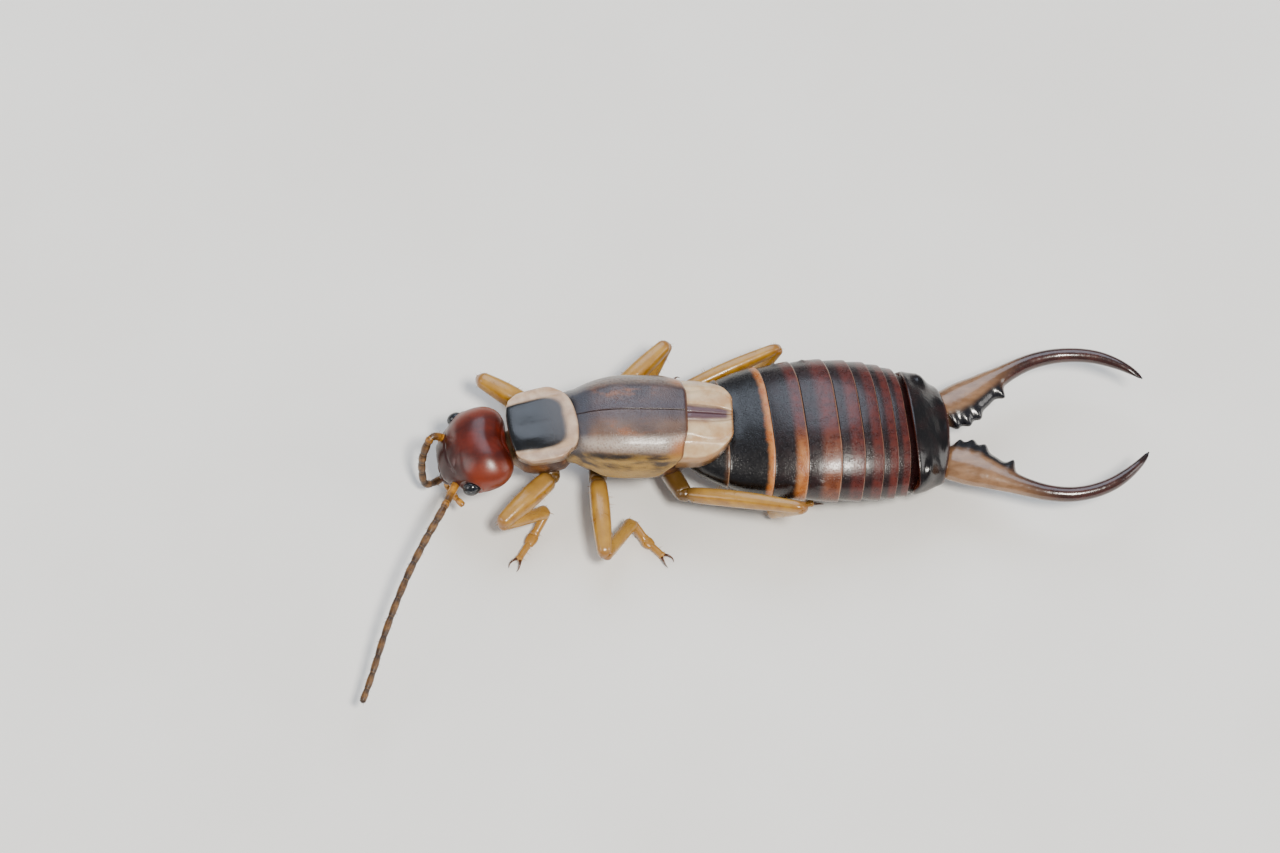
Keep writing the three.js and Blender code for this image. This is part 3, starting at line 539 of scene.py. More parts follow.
mottle = tail.noise(2.2, 4.0)
rim = tail_share.rise(0.88, 1.0).math("MAXIMUM", 1 - tail_share.rise(0.0, 0.06)) * 0.5
flanks = 1 - tail_height.rise(-0.5, 0.0)
tail_tone = mottle.clouds(0.4, 0.72, "#080506", "#1d0b0a").under((rim, "#5a2614"), (flanks, "#2c110b"))
tail_relief = [(tail.cells(20.0), 0.002), (tail.noise(2.6, 2.0), 0.02), (tail.noise(50.0), 0.001)]
tail_paint = tail.surface(tail_tone, 0.2 + mottle * 0.12, tail_relief, coat=(0.25, 0.12))
last_plate = tail_skin.piece("last_plate", tail_paint)
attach(last_plate, "root")
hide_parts("last_tergite")

# Forceps. Two hollow horn arms are hinged under the last plate. Each is a broad blade at its
# root, with a crenulate inner edge that ends in a tooth, and then bows out slender and smooth.
FORCEPS_YAW = math.radians(5)
FORCEPS_RISE = math.radians(3)
FORCEPS_LENGTH = 5.15
FORCEPS_ROOT = np.array([TAIL_END, abdomen_axis(TAIL_END), 1.24])
forceps_ahead = unit((math.cos(FORCEPS_YAW), math.sin(FORCEPS_YAW), math.tan(FORCEPS_RISE)))
forceps_side = np.array([-math.sin(FORCEPS_YAW), math.cos(FORCEPS_YAW), 0])
forceps_up = np.cross(forceps_ahead, forceps_side)
ARM_LINE = [(-0.1, 0.7), (0.5, 0.92), (1.0, 1.18), (1.5, 1.5), (2.0, 1.77), (2.5, 1.97), (3.05, 2.07),
            (3.6, 2.04), (4.1, 1.9), (4.55, 1.65), (4.9, 1.37), (FORCEPS_LENGTH, 1.1)]
ARM_WIDTHS = [(0, 0.3), (0.03, 0.44), (0.08, 0.5), (0.16, 0.5), (0.26, 0.38), (0.34, 0.27),
              (0.44, 0.215), (0.6, 0.19), (0.8, 0.165), (0.92, 0.11), (0.98, 0.06), (1, 0.02)]
ARM_HEIGHTS = [(0, 0.24), (0.06, 0.33), (0.2, 0.3), (0.34, 0.235), (0.6, 0.19), (0.8, 0.165),
               (0.92, 0.11), (1, 0.02)]
ARM_SPREAD = {"left": 1.0, "right": 0.93}
ARM_STRETCH = {"left": 1.0, "right": 1.03}
ARM_ROWS, ARM_SIDES = 170, 44
TEETH = [  # place along the arm, width and height of each tooth of the inner edge
    (0.066, 0.017, 0.13), (0.11, 0.021, 0.18), (0.158, 0.021, 0.16), (0.292, 0.022, 0.2),
]
RIDGE = (0.06, 0.3, 0.05)  # where the dark inner ridge starts and ends, and its height
FINE_STEPS = 600  # steps in which a curve's length is measured


def curve_through(points, count):
    """Evenly spaced points on a smooth curve through a few given ones, and its directions there."""
    points = np.array(points, float)
    knots = np.concatenate([[0], np.cumsum(np.linalg.norm(np.diff(points, axis=0), axis=1) ** 0.5)])
    slopes = np.gradient(points, knots, axis=0, edge_order=1)
    u = np.linspace(0, knots[-1], FINE_STEPS)
    i = np.clip(np.searchsorted(knots, u, "right") - 1, 0, len(points) - 2)
    h = (knots[i + 1] - knots[i])[:, None]
    path = eased((u - knots[i])[:, None] / h, h, points[i], slopes[i], points[i + 1], slopes[i + 1])
    run = np.concatenate([[0], np.cumsum(np.linalg.norm(np.diff(path, axis=0), axis=1))])
    even = np.linspace(0, run[-1], count)
    path = np.stack([np.interp(even, run, path[:, k]) for k in range(3)], 1)
    ahead = np.gradient(path, axis=0)
    return path, ahead / np.linalg.norm(ahead, axis=1)[:, None]


def limb(points, rows, sides, size, power=2.0):
    """Rings along a curve; size(t) gives half width, half height above and half height below."""
    path, ahead = curve_through(points, rows)
    made = []
    for k, t in enumerate(np.linspace(0, 1, rows)):
        side = unit(np.cross(UP, ahead[k]))
        over = np.cross(ahead[k], side)
        made.append(section_ring(path[k], side, over, *size(t), sides, power))
    return np.array(made)


horn = Finish("forceps_horn")
arm_share, arm_inner, arm_over = horn.mark("share"), horn.mark("inner"), horn.mark("over")
horn_streak = horn.noise(4.0, 4.0, (0.6, 1.4, 1.4))
root_tone = horn_streak.clouds(0.3, 0.7, "#755438", "#8f6c4e")
arm_tone = horn_streak.clouds(0.35, 0.7, "#2b110c", "#43201a")
past_root = (arm_share + (horn_streak - 0.5) * 0.08 + arm_inner * 0.1).rise(0.22, 0.5)
# Painted shade: the underside of each arm is coloured darker.
below = (1 - arm_over.rise(-0.7, 0.1)) * 0.6
dark_edge = arm_inner.rise(0.35, 0.7) * (1 - arm_share.rise(0.29, 0.34)) * arm_share.rise(0.02, 0.06)
horn_tone = past_root.between(root_tone, arm_tone).under(
    (below, past_root.between("#5d3212", "#2a0c08")), (dark_edge, "#0b0a10"),
    (arm_share.rise(0.86, 1.0), "#140606"),
)
horn_relief = [(horn.noise(30.0, 2.0), 0.0015), (horn.noise(4.0, 2.0), 0.012)]
horn_paint = horn.surface(
    horn_tone, 0.2 + horn_streak * 0.1, horn_relief,
    coat=(0.5, 0.06), specular=0.6, glow=(0.08, 0.3, (1.0, 0.45, 0.2)),
)
SIDES = (("left", -1), ("right", 1))
for name, side_sign in SIDES:
    route = []
    for s, w in ARM_LINE:
        lift = 0.1 * math.sin(math.pi * s / FORCEPS_LENGTH) + 0.14 * smooth(s, 3, FORCEPS_LENGTH)
        route.append(FORCEPS_ROOT + forceps_ahead * s * ARM_STRETCH[name]
                     + forceps_side * side_sign * w * ARM_SPREAD[name] + forceps_up * lift)
    arm_rings = limb(route, ARM_ROWS, ARM_SIDES,
                     lambda t: (along(ARM_WIDTHS, t), along(ARM_HEIGHTS, t), along(ARM_HEIGHTS, t)))
    around = full_turn(ARM_SIDES)
    inward = -side_sign * np.cos(around)
    shares = np.linspace(0, 1, ARM_ROWS)
    for k, t in enumerate(shares):
        centre = arm_rings[k].mean(0)
        across = arm_rings[k][0] - centre
        width = np.linalg.norm(across)
        ridge = RIDGE[2] * smooth(t, RIDGE[0] - 0.03, RIDGE[0]) * (1 - smooth(t, RIDGE[1], RIDGE[1] + 0.04))
        teeth = sum(height * float(hump(t, place, span)) for place, span, height in TEETH)
        sharp = np.clip(inward, 0, 1) ** 3
        arm_rings[k] += np.outer(sharp * (ridge + teeth), across / width) * -side_sign
        arm_rings[k][:, 2] += 0.35 * sharp * teeth
    arm_skin = Skin("share", "inner", "over")
    arm_skin.wrap(arm_rings, share=shares[:, None], inner=inward, over=np.sin(around))
    arm = arm_skin.piece(f"forceps_arm_{name}", horn_paint)
    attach(arm, "root")
    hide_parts(f"cercus_{name}")

# Chest. Under the shield and the wing cases lie rings of brown plates, with the soft pale collar
# in front that carries the head. The hips of the legs are set into their underside.
HEAD_YAW = math.radians(10)
SHIELD_YAW = math.radians(9.6)
SHIELD_PITCH = math.radians(8)
SHIELD_CENTRE = (-2.585, -0.27, 2.6)
SHIELD_HALF_LENGTH = 0.7
SHIELD_HALF_WIDTH = 1.03


class LocalFrame:
    """Places given ahead, across to the animal's right, and up, round a centre."""

    def __init__(self, centre, yaw, pitch):
        level = math.cos(pitch)
        self.centre = np.array(centre)
        self.ahead = np.array([-level * math.cos(yaw), -level * math.sin(yaw), -math.sin(pitch)])
        self.right = np.array([-math.sin(yaw), math.cos(yaw), 0])
        self.up = np.cross(self.right, self.ahead)

    def at(self, ahead, across, up):
        return self.centre + self.ahead * ahead + self.right * across + self.up * up

    def ring(self, place, *shape):
        return section_ring(self.at(*place), self.right, self.up, *shape)


on_shield = LocalFrame(SHIELD_CENTRE, SHIELD_YAW, SHIELD_PITCH)
CHEST_SIDES = 64
FORE_ROWS = [(1.04, 0.2, 0.2, 0.24), (1.02, 0.3, 0.26, 0.32), (0.9, 0.4, 0.3, 0.4),
             (0.76, 0.44, 0.34, 0.44), (0.7, 0.5, 0.48, 0.5), (0.55, 0.66, 0.64, 0.62),
             (0.35, 0.74, 0.7, 0.68), (0.1, 0.8, 0.71, 0.72), (-0.2, 0.82, 0.71, 0.74),
             (-0.45, 0.78, 0.69, 0.7), (-0.6, 0.68, 0.62, 0.6), (-0.68, 0.64, 0.58, 0.56),
             (-0.8, 0.64, 0.56, 0.56), (-0.9, 0.54, 0.44, 0.4)]
REAR_ROWS = [(-1.66, 0.4, 0.4), (-1.62, 0.6, 0.52), (-1.5, 0.76, 0.62), (-1.2, 0.9, 0.74),
             (-0.8, 0.98, 0.8), (-0.4, 1.0, 0.82), (-0.1, 0.98, 0.82), (-0.02, 0.95, 0.8),
             (0.06, 0.99, 0.82), (0.4, 1.04, 0.82), (0.8, 1.0, 0.8), (1.1, 0.86, 0.7),
             (1.3, 0.7, 0.56), (1.4, 0.5, 0.4)]
REAR_MIDDLE = 1.66
FORE_DROP = 0.86  # depth of the first ring's middle under the shield
chest_skin = Skin("soft")
fore = [on_shield.ring((f, 0, -FORE_DROP), w, top, low, CHEST_SIDES, 2.4) for f, w, top, low in FORE_ROWS]
collar = np.array([[smooth(f, 0.66, 0.74)] for f, *_ in FORE_ROWS])
chest_skin.wrap(fore, soft=collar)
rear = [section_ring((x, 0, REAR_MIDDLE), (0, 1, 0), UP, w, h, h, CHEST_SIDES, 2.6)
        for x, w, h in REAR_ROWS]
chest_skin.wrap(rear, soft=0.0)
BELLY_PLATES = [(-2.7, -0.3, 1.06, 0.5, 0.34), (-1.2, 0.0, 0.86, 0.34, 0.3),
                (-0.62, 0.0, 0.86, 0.5, 0.36), (0.42, 0.0, 0.88, 0.56, 0.44)]
for x, y, z, length, width in BELLY_PLATES:
    chest_skin.ball((x, y, z), (length, width, 0.1), soft=0.15)
chest = Finish("chest_plates")
softness = chest.mark("soft")
chest_mottle = chest.noise(3.0, 4.0)
chest_tone = chest_mottle.clouds(0.35, 0.7, "#3a1f10", "#7a4c22")
chest_tone = softness.between(chest_tone, chest_mottle.between("#6b4a30", "#b08a62"))
chest_relief = [(chest.cells(20.0), 0.006), (chest.noise(12.0, 3.0), 0.015)]
chest_paint = chest.surface(chest_tone, 0.34 + chest_mottle * 0.1, chest_relief)
chest_piece = chest_skin.piece("chest", chest_paint)
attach(chest_piece, "root")
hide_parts("prothorax", "thorax")

# Neck shield. One domed plate with a thin, see-through cream rim and a glossy black disc in the
# middle of its front, covers the first ring of the chest.
SHIELD_ACROSS, SHIELD_ALONG = 72, 60
SHIELD_LAP = 0.08  # how far its rear rim laps over the wing cases
SHIELD_THICK = 0.16
shield_skin = Skin("across", "along")


def shield_point(a, b, thick):
    bow = (0.07 * smooth(b, 0, 1) - 0.2 * smooth(-b, 0, 1)) * (1 - a * a)
    corner = 1 - 0.08 * smooth(b, 0.5, 1) - 0.14 * smooth(-b, 0.45, 1) ** 2
    across = a * (SHIELD_HALF_WIDTH - 0.035 * b) * (1 - (1 - corner) * abs(a) ** 3)
    ahead = SHIELD_HALF_LENGTH * b * (1 - 0.05 * abs(a) ** 4) + bow - SHIELD_LAP * smooth(-b, 0.5, 1)
    dome = 0.1 * (1 - abs(a) ** 2.2) * (1 - 0.5 * b**4) + 0.05 * smooth(b, 0.2, 0.9) * (1 - a * a)
    rim = 0.04 * smooth(abs(a), 0.82, 0.98) - 0.02 * hump(abs(a), 0.74, 0.08) * smooth(1 - abs(b), 0, 0.3)
    groove = 0.006 * hump(a, 0, 0.03) * smooth(b, -0.6, -0.2) * smooth(-b, -0.85, -0.5)
    lobes = 0.03 * (hump(a, 0.34, 0.24) + hump(a, -0.34, 0.24)) * hump(b, 0.35, 0.4)
    edge = max(abs(a), abs(b))
    rounding = 0.06 * (smooth(edge, 0.955, 1.0) ** 2)
    corners = 1 - 0.09 * abs(a * b) ** 3
    return on_shield.at(ahead * corners, across * corners, dome + rim + lobes - groove - rounding - thick)


def shield_grid(thickness):
    grid = []
    for a in np.linspace(-1, 1, SHIELD_ACROSS):
        a = math.copysign(abs(a) ** 0.85, a)
        grid.append([shield_point(a, math.copysign(abs(b) ** 0.85, b), thickness)
                     for b in np.linspace(-1, 1, SHIELD_ALONG)])
    return np.array(grid)


shield_across = np.linspace(-1, 1, SHIELD_ACROSS)[:, None]
shield_along = np.linspace(-1, 1, SHIELD_ALONG)
shield_skin.plate(shield_grid(0.0), shield_grid(SHIELD_THICK), across=shield_across, along=shield_along)
shield = Finish("neck_shield")
a, b = shield.mark("across"), shield.mark("along")
haze = shield.noise(1.6, 4.0)
disc_reach = (a.math("ABSOLUTE") * 1.52) ** 5.0 + (b * -1.45).math("MAXIMUM", 0.0) ** 3.0
disc = 1 - (disc_reach + (haze - 0.5) * 0.5).rise(0.55, 1.25)
cream = shield.noise(3.5, 3.0).clouds(0.3, 0.7, "#a98a70", "#cbb094")
cream = (b.peak(-0.6, 0.35) * 0.4).between(cream, "#99714f")
black = shield.noise(2.5, 3.0).clouds(0.35, 0.75, "#050506", "#15161a")
black = (1 - b.rise(-0.55, 0.1)).between(black, "#2b2523")
shield_tone = disc.between(cream, black)
rim_line = a.math("ABSOLUTE").rise(0.965, 0.99).math("MAXIMUM", b.math("ABSOLUTE").rise(0.97, 0.995))
shield_tone = (rim_line * 0.6).between(shield_tone, "#6e4a2c")
shield_relief = [(shield.cells(26.0), 0.0015), (shield.noise(4.0, 3.0), 0.006)]
shield_paint = shield.surface(
    shield_tone, 0.32 - disc * 0.08, shield_relief,
    coat=(0.25, 0.14), glow=(0.12, 0.3, (1.0, 0.6, 0.35)),
)
neck_shield = shield_skin.piece("neck_shield", shield_paint)
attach(neck_shield, "root")
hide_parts("pronotum")

# Wing cases. Two short leathery plates meet in a straight seam along the back, turn down at the
# sides and are cut off square behind. They are tan, finely punctured and slightly see-through.
THORAX_FRONT = -1.44
ELYTRA_REAR = 1.12
CREST = 3.0
ELYTRON_FLAT = 1.12
ELYTRON_WIDE = 1.43
ELYTRON_SKIRT = 1.02
ELYTRON_BEND = 0.66  # share of the plate's width that lies flat
FLAT_DROP = 0.28  # how far the flat part has sunk at its bend
CASE_ACROSS, CASE_ALONG = 90, 84
CASE_THICK = 0.1
SHOULDER_ROUND = 0.13  # share of the width over which the shoulder is rounded


def case_section(s, inset):
    """Place of one point across the case, out from the seam and up; s is 1 at the lower edge."""
    flat = min(s / ELYTRON_BEND, 1)
    down = np.clip((s - ELYTRON_BEND) / (1 - ELYTRON_BEND), 0, 1)
    y = ELYTRON_FLAT * flat + (ELYTRON_WIDE - ELYTRON_FLAT) * math.sin(down * math.pi / 2) ** 0.9
    z = CREST - 0.12 * flat**2 - 0.16 * smooth(flat, 0.75, 1) - (ELYTRON_SKIRT - FLAT_DROP) * down**1.1
    tilt = math.pi / 2 * 0.92 * smooth(s, ELYTRON_BEND - 0.12, ELYTRON_BEND + 0.16)
    return np.array([y - inset * math.sin(tilt), z - inset * math.cos(tilt)])


def case_point(s, share, inset):
    """s runs from the seam to the lower edge of the side, share from the front to the rear."""
    rear_edge = ELYTRA_REAR - 0.1 * smooth(s, 0.3, 0.66) - 0.5 * smooth(s, 0.64, 1) ** 2
    front_edge = THORAX_FRONT - 0.26 - 0.2 * smooth(s, 0.2, 0.62) + 0.75 * smooth(s, 0.68, 1) ** 2
    x = front_edge + (rear_edge - front_edge) * share
    shoulder = 1 - (1 - np.clip((x - THORAX_FRONT + 0.2) / 1.3, 0, 1)) ** 2
    spread = (0.8 + 0.2 * shoulder) * (1 - 0.1 * smooth(x, ELYTRA_REAR - 0.9, ELYTRA_REAR) ** 2)
    end_edge = max(smooth(share, 0.975, 1), smooth(1 - share, 0.97, 1))
    edge = max(end_edge, smooth(s, 0.975, 1), 0.4 * smooth(1 - s, 0.99, 1))
    hollow = 0.015 * hump(s, 0.8, 0.06) - 0.02 * hump(s, 0.96, 0.03)
    inset = inset + 0.035 * edge**2 + hollow
    s_drawn = s - (s - 0.7) * 0.3 * smooth(s, 0.7, 1) * abs(2 * share - 1) ** 4
    soft = SHOULDER_ROUND * smooth(s_drawn, 0.0, 0.4) * smooth(1 - s_drawn, 0.0, 0.2)
    y, z = sum(case_section(s_drawn + soft * step, inset) for step in (-1, -0.5, 0, 0.5, 1)) / 5
    dip = 0.42 * (1 - np.clip((x - THORAX_FRONT + 0.4) / 1.6, 0, 1)) ** 2.2
    dip += 0.03 * smooth(x, 0.4, ELYTRA_REAR)
    return (x, y * spread, z - dip)


case_s = np.linspace(0, 1, CASE_ACROSS)
case_share = np.linspace(0, 1, CASE_ALONG)
case_share = case_share + 0.5 * (case_share - case_share**2) * (case_share - 0.5) * -0.6
case = Finish("wing_case")
s, share = case.mark("across"), case.mark("along")
haze = case.noise(1.3, 4.0)
mottles = case.noise(2.4, 4.0, (0.7, 1.4, 1.0))
# Painted light and shade: the near case takes a lighter tone and the far case a darker one, one colour
# shown lit and shaded.
lit_near_tone = haze.clouds(0.3, 0.7, "#4d3a31", "#6d5344")
shaded_far_tone = haze.clouds(0.3, 0.7, "#2f2326", "#4b3835")
far_case_shade = (case.axis("Y") - float(ANIMAL[1])).rise(-0.02, 0.02)
middle = s.peak(0.34, 0.3) * share.peak(0.45, 0.5)
# Painted reflection: a bluish grey band along the front of the cases. Painted highlight: a pale glinting
# band along the near case's shoulder, weaker on the far case.
base_sky_sheen = 1 - (share + (haze - 0.5) * 0.12).rise(0.1, 0.24)
sparkle = case.cells(15.0).rise(0.15, 0.6)
shoulder_highlight = s.peak(0.55, 0.17) * (1 - base_sky_sheen * 0.6) * (1 - far_case_shade * 0.5) * (0.45 + sparkle * 0.4)
top_tone = far_case_shade.between(lit_near_tone, shaded_far_tone).under(
    (mottles.rise(0.45, 0.65) * middle * 0.8, "#8a532c"), (s.peak(0.06, 0.2) * 0.7, "#3a2d33"),
    (base_sky_sheen * 0.8, "#3f434d"), (shoulder_highlight, "#b3a497"),
)
streaks = case.noise(3.2, 4.0, (0.45, 1.0, 2.2))
side_tone = streaks.clouds(0.35, 0.62, "#352410", "#93712f")
side_tone = (s.rise(0.8, 0.95) * 0.6).between(side_tone, "#8d7040")
under_shoulder = s.peak(0.7, 0.07) * (1 - share.rise(0.4, 0.8)) * mottles.rise(0.3, 0.6)
corner = s.peak(0.6, 0.22) * share.rise(0.82, 0.97)
pale_edge = s.rise(0.96, 0.985)
seam_line = 1 - s.rise(0.0, 0.018)
rear_line = share.rise(0.975, 0.992)
case_tone = s.rise(0.63, 0.72).between(top_tone, side_tone).under(
    (under_shoulder * 0.85, "#1a110a"), (corner * 0.8, "#a9631f"), (pale_edge * 0.7, "#b8a584"),
    (seam_line * 0.7, "#2a1510"), (rear_line * 0.7, "#5a3216"),
)
pin_pricks = case.cells(26.0)
case_relief = [(pin_pricks.rise(0.0, 0.6), 0.005), (case.noise(60.0, 2.0), 0.002),
               (case.noise(3.0, 2.0), 0.012)]
case_paint = case.surface(
    case_tone, 0.26 + pin_pricks * 0.1, case_relief,
    coat=(0.35, 0.2), specular=0.55, glow=(0.1, 0.3, (1.0, 0.55, 0.3)),
)
CASE_SEAM = 0.006  # half of the slit between the two wing cases


def side_sheets(point, across, along_steps, thick, side_sign):
    """The outer and the inner grid of a plate on one side of the seam."""
    for inset in (0.0, thick):
        grid = np.array([[point(i, j, inset) for j in along_steps] for i in across])
        grid[..., 1] = side_sign * (grid[..., 1] + CASE_SEAM)
        yield grid


for name, side_sign in SIDES:
    case_skin = Skin("across", "along")
    sheets = side_sheets(case_point, case_s, case_share, CASE_THICK, side_sign)
    case_skin.plate(*sheets, across=case_s[:, None], along=case_share)
    wing_case = case_skin.piece(f"wing_case_{name}", case_paint)
    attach(wing_case, "root")
    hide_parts(f"elytron_{name}")

# Wing tips. The big hind wings are folded like a fan under the wing cases, and only their two
# cream leathery ends show behind them, with a brown stripe along the seam.
TIP_START = 0.85
TIP_SHOWS = 1.22  # where the tip comes out from under its wing case
WING_TIP = 2.28
WING_HALF = 1.14
TIP_ACROSS, TIP_ALONG = 48, 56
TIP_THICK = 0.36


def tip_point(i, j, thick):
    x = TIP_START + (WING_TIP - TIP_START) * j
    k = max(0.0, (x - TIP_SHOWS) / (WING_TIP - TIP_SHOWS))
    half = WING_HALF * math.sqrt(max(0.02, 1 - 0.84 * (k * 0.985) ** 2.4))
    y = half * i
    arch = 0.2 * (y / WING_HALF) ** 2 * (1 - 0.2 * k) + 0.22 * smooth(y, 0.75, 1.2)
    z = CREST - 0.13 - 0.12 * k - arch
    fold = 0.03 * hump(i, 0.2, 0.05) + 0.02 * hump(i - 0.25 * k, 0.55, 0.04)
    edge = max(smooth(j, 0.96, 1.0), smooth(i, 0.96, 1.0), smooth(1 - i, 0.985, 1.0))
    return (x, y, z - fold - 0.04 * edge**2 - thick * (1 - 0.4 * k))


tip = Finish("wing_tip")
i_mark, j_mark = tip.mark("across"), tip.mark("along")
tip_cloud = tip.noise(2.2, 4.0)
stripe = (1 - (i_mark + (tip_cloud - 0.5) * 0.1).rise(0.1, 0.26)) * (1 - j_mark.rise(0.86, 0.97) * 0.7)
fold_line = i_mark.peak(0.2, 0.03) * 0.6
tip_edge = j_mark.rise(0.95, 0.985).math("MAXIMUM", i_mark.rise(0.93, 0.98)) * 0.7
tip_tone = tip_cloud.clouds(0.3, 0.7, "#b98f62", "#d8bf99").under(
    (stripe, "#5b4248"), (fold_line, "#7a5b40"), (tip_edge, "#8a5a30"),
)
tip_relief = [(tip.cells(28.0), 0.0015), (tip.noise(4.0, 3.0, (0.6, 1.5, 1)), 0.01)]
tip_paint = tip.surface(tip_tone, 0.34, tip_relief, coat=(0.25, 0.12), glow=(0.2, 0.4, (1.0, 0.65, 0.4)))
tip_across = np.linspace(0, 1, TIP_ACROSS)
tip_along = np.linspace(0, 1, TIP_ALONG)
for name, side_sign in SIDES:
    tip_skin = Skin("across", "along")
    sheets = side_sheets(tip_point, tip_across, tip_along, TIP_THICK, side_sign)
    tip_skin.plate(*sheets, across=tip_across[:, None], along=tip_along)
    wing_tip = tip_skin.piece(f"folded_wing_{name}", tip_paint)
    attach(wing_tip, "root")
    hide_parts(f"wing_tip_{name}")

# Head. A flat, heart-shaped capsule of glossy mahogany chitin, with full temples behind the
# eyes, a notch between them, a fine forked seam on top and the darker face plate in front.
HEAD_CENTRE = (-4.08, -0.6, 1.86)
HEAD_PITCH = math.radians(22)
on_head = LocalFrame(HEAD_CENTRE, HEAD_YAW, HEAD_PITCH)
HEAD_WIDTHS = [(-0.86, 0.42), (-0.82, 0.66), (-0.7, 0.9), (-0.45, 1.08), (-0.1, 1.13), (0.25, 1.07),
               (0.5, 0.9), (0.72, 0.7), (0.9, 0.56), (1.0, 0.46), (1.04, 0.28)]
HEAD_TOPS = [(-0.86, 0.12), (-0.82, 0.22), (-0.7, 0.36), (-0.45, 0.53), (-0.1, 0.62), (0.25, 0.6),
             (0.5, 0.5), (0.72, 0.38), (0.9, 0.26), (1.0, 0.16), (1.04, 0.08)]
HEAD_LOWS = [(-0.86, 0.3), (-0.7, 0.48), (-0.45, 0.6), (-0.1, 0.66), (0.25, 0.64), (0.5, 0.56),
             (0.72, 0.46), (0.9, 0.34), (1.0, 0.22), (1.04, 0.12)]
NOTCH = (0.16, 0.42)
HEAD_ROWS, HEAD_SIDES = 110, 110
HEAD_REAR, HEAD_LENGTH = -0.86, 1.9
EYE_PLACE = np.array([0.34, 1.0, 0.06])
EYE_SIZE = np.array([0.22, 0.17, 0.2])
SOCKET_SIZE = (EYE_SIZE[0] + 0.03, 0.4, EYE_SIZE[2] + 0.03)
FEELER_ROOT = np.array([0.74, 0.62, -0.06])
FEELER_COLLAR = (0.2, 0.2, 0.22)
head_skin = Skin("ahead", "across", "over")
head_rings, ahead_marks, across_marks, over_marks = [], [], [], []
for u in HEAD_REAR + HEAD_LENGTH * (0.5 - 0.5 * np.cos(np.linspace(0, math.pi, HEAD_ROWS))):
    w, top, low = along(HEAD_WIDTHS, u), along(HEAD_TOPS, u), along(HEAD_LOWS, u)
    flat = section_ring(np.zeros(3), (0, 1, 0), (0, 0, 1), w, top, low, HEAD_SIDES, 2.2)
    y, z = flat[:, 1], flat[:, 2]
    x = np.full(HEAD_SIDES, u)
    x = x + NOTCH[0] * smooth(-x, 0.25, 0.86) * np.exp(-((y / NOTCH[1]) ** 2))
    upper = smooth(z, -0.1, 0.15)
    stem = hump(y, 0, 0.025) * smooth(-x, -0.25, -0.1) * smooth(x, -0.8, -0.6)
    fork = hump(np.abs(y) - (x - 0.2) * 1.15, 0, 0.03) * smooth(x, 0.2, 0.26) * smooth(-x, -0.62, -0.5)
    face_seam = hump(x - 0.72 + 0.12 * (y / 0.6) ** 2, 0, 0.02) * smooth(0.62 - np.abs(y), 0, 0.1)
    cheeks = 0.03 * hump(np.abs(y), 0.55, 0.25) * hump(x, -0.35, 0.35)
    brow = -0.03 * hump(x, 0.5, 0.12) * hump(np.abs(y), 0.36, 0.16)
    lift = upper * (cheeks + brow - 0.016 * stem - 0.012 * fork - 0.03 * face_seam)
    place = np.stack([x, np.abs(y), z], 1)
    gap = np.linalg.norm((place - EYE_PLACE) / SOCKET_SIZE, axis=1)
    socket = -0.05 * (1 - smooth(gap, 0.85, 1.05)) + 0.02 * hump(gap, 1.12, 0.1)
    collar_gap = np.linalg.norm((place - FEELER_ROOT + (0.04, 0, 0)) / FEELER_COLLAR, axis=1)
    ring_lift = 0.05 * hump(collar_gap, 1.0, 0.3)
    outward = np.stack([np.zeros(HEAD_SIDES), y, z], 1)
    outward /= np.maximum(np.linalg.norm(outward, axis=1), 1e-6)[:, None]
    y = y + outward[:, 1] * (socket + ring_lift)
    z = z + outward[:, 2] * (socket + ring_lift) + lift
    head_rings.append(on_head.at(x[:, None], y[:, None], z[:, None]))
    ahead_marks.append(x)
    across_marks.append(y)
    over_marks.append(z)
head_skin.wrap(head_rings, ahead=ahead_marks, across=across_marks, over=over_marks)
mahogany = Finish("head_mahogany")
hx, hy, hz = mahogany.mark("ahead"), mahogany.mark("across"), mahogany.mark("over")
flames = mahogany.noise(1.8, 4.0, (1.0, 1.4, 1.0))
blotches = mahogany.noise(4.5, 3.0)
front_dark = (hx + (blotches - 0.5) * 0.35).rise(0.1, 0.8)
cheek_glow = hy.math("ABSOLUTE").rise(0.5, 0.95) * (1 - hx.rise(0.1, 0.5))
throat = 1 - hz.rise(-0.4, -0.05)
head_tone = flames.clouds(0.32, 0.68, "#3f0e06", "#611a09").under(
    (blotches.rise(0.52, 0.75) * 0.3, "#3a0e07"), (front_dark * 0.85, "#240a06"),
    (cheek_glow * 0.4, "#93380f"), (throat * 0.6, "#4d210e"),
)
head_relief = [(mahogany.noise(34.0, 3.0), 0.0016), (mahogany.noise(3.0, 2.0), 0.004)]
head_paint = mahogany.surface(
    head_tone, 0.3 + blotches * 0.1, head_relief,
    coat=(0.18, 0.2), glow=(0.08, 0.3, (1.0, 0.3, 0.1)),
)
head = head_skin.piece("head_capsule", head_paint)
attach(head, "root")
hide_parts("head")

# Eyes. Two black compound eyes, each a low dome of about six hundred small round lenses set in
# hexagons, let into the sides of the head behind the feelers.
LENS = 0.0085  # radius of one lens
EYE_SUBDIVISIONS = 4


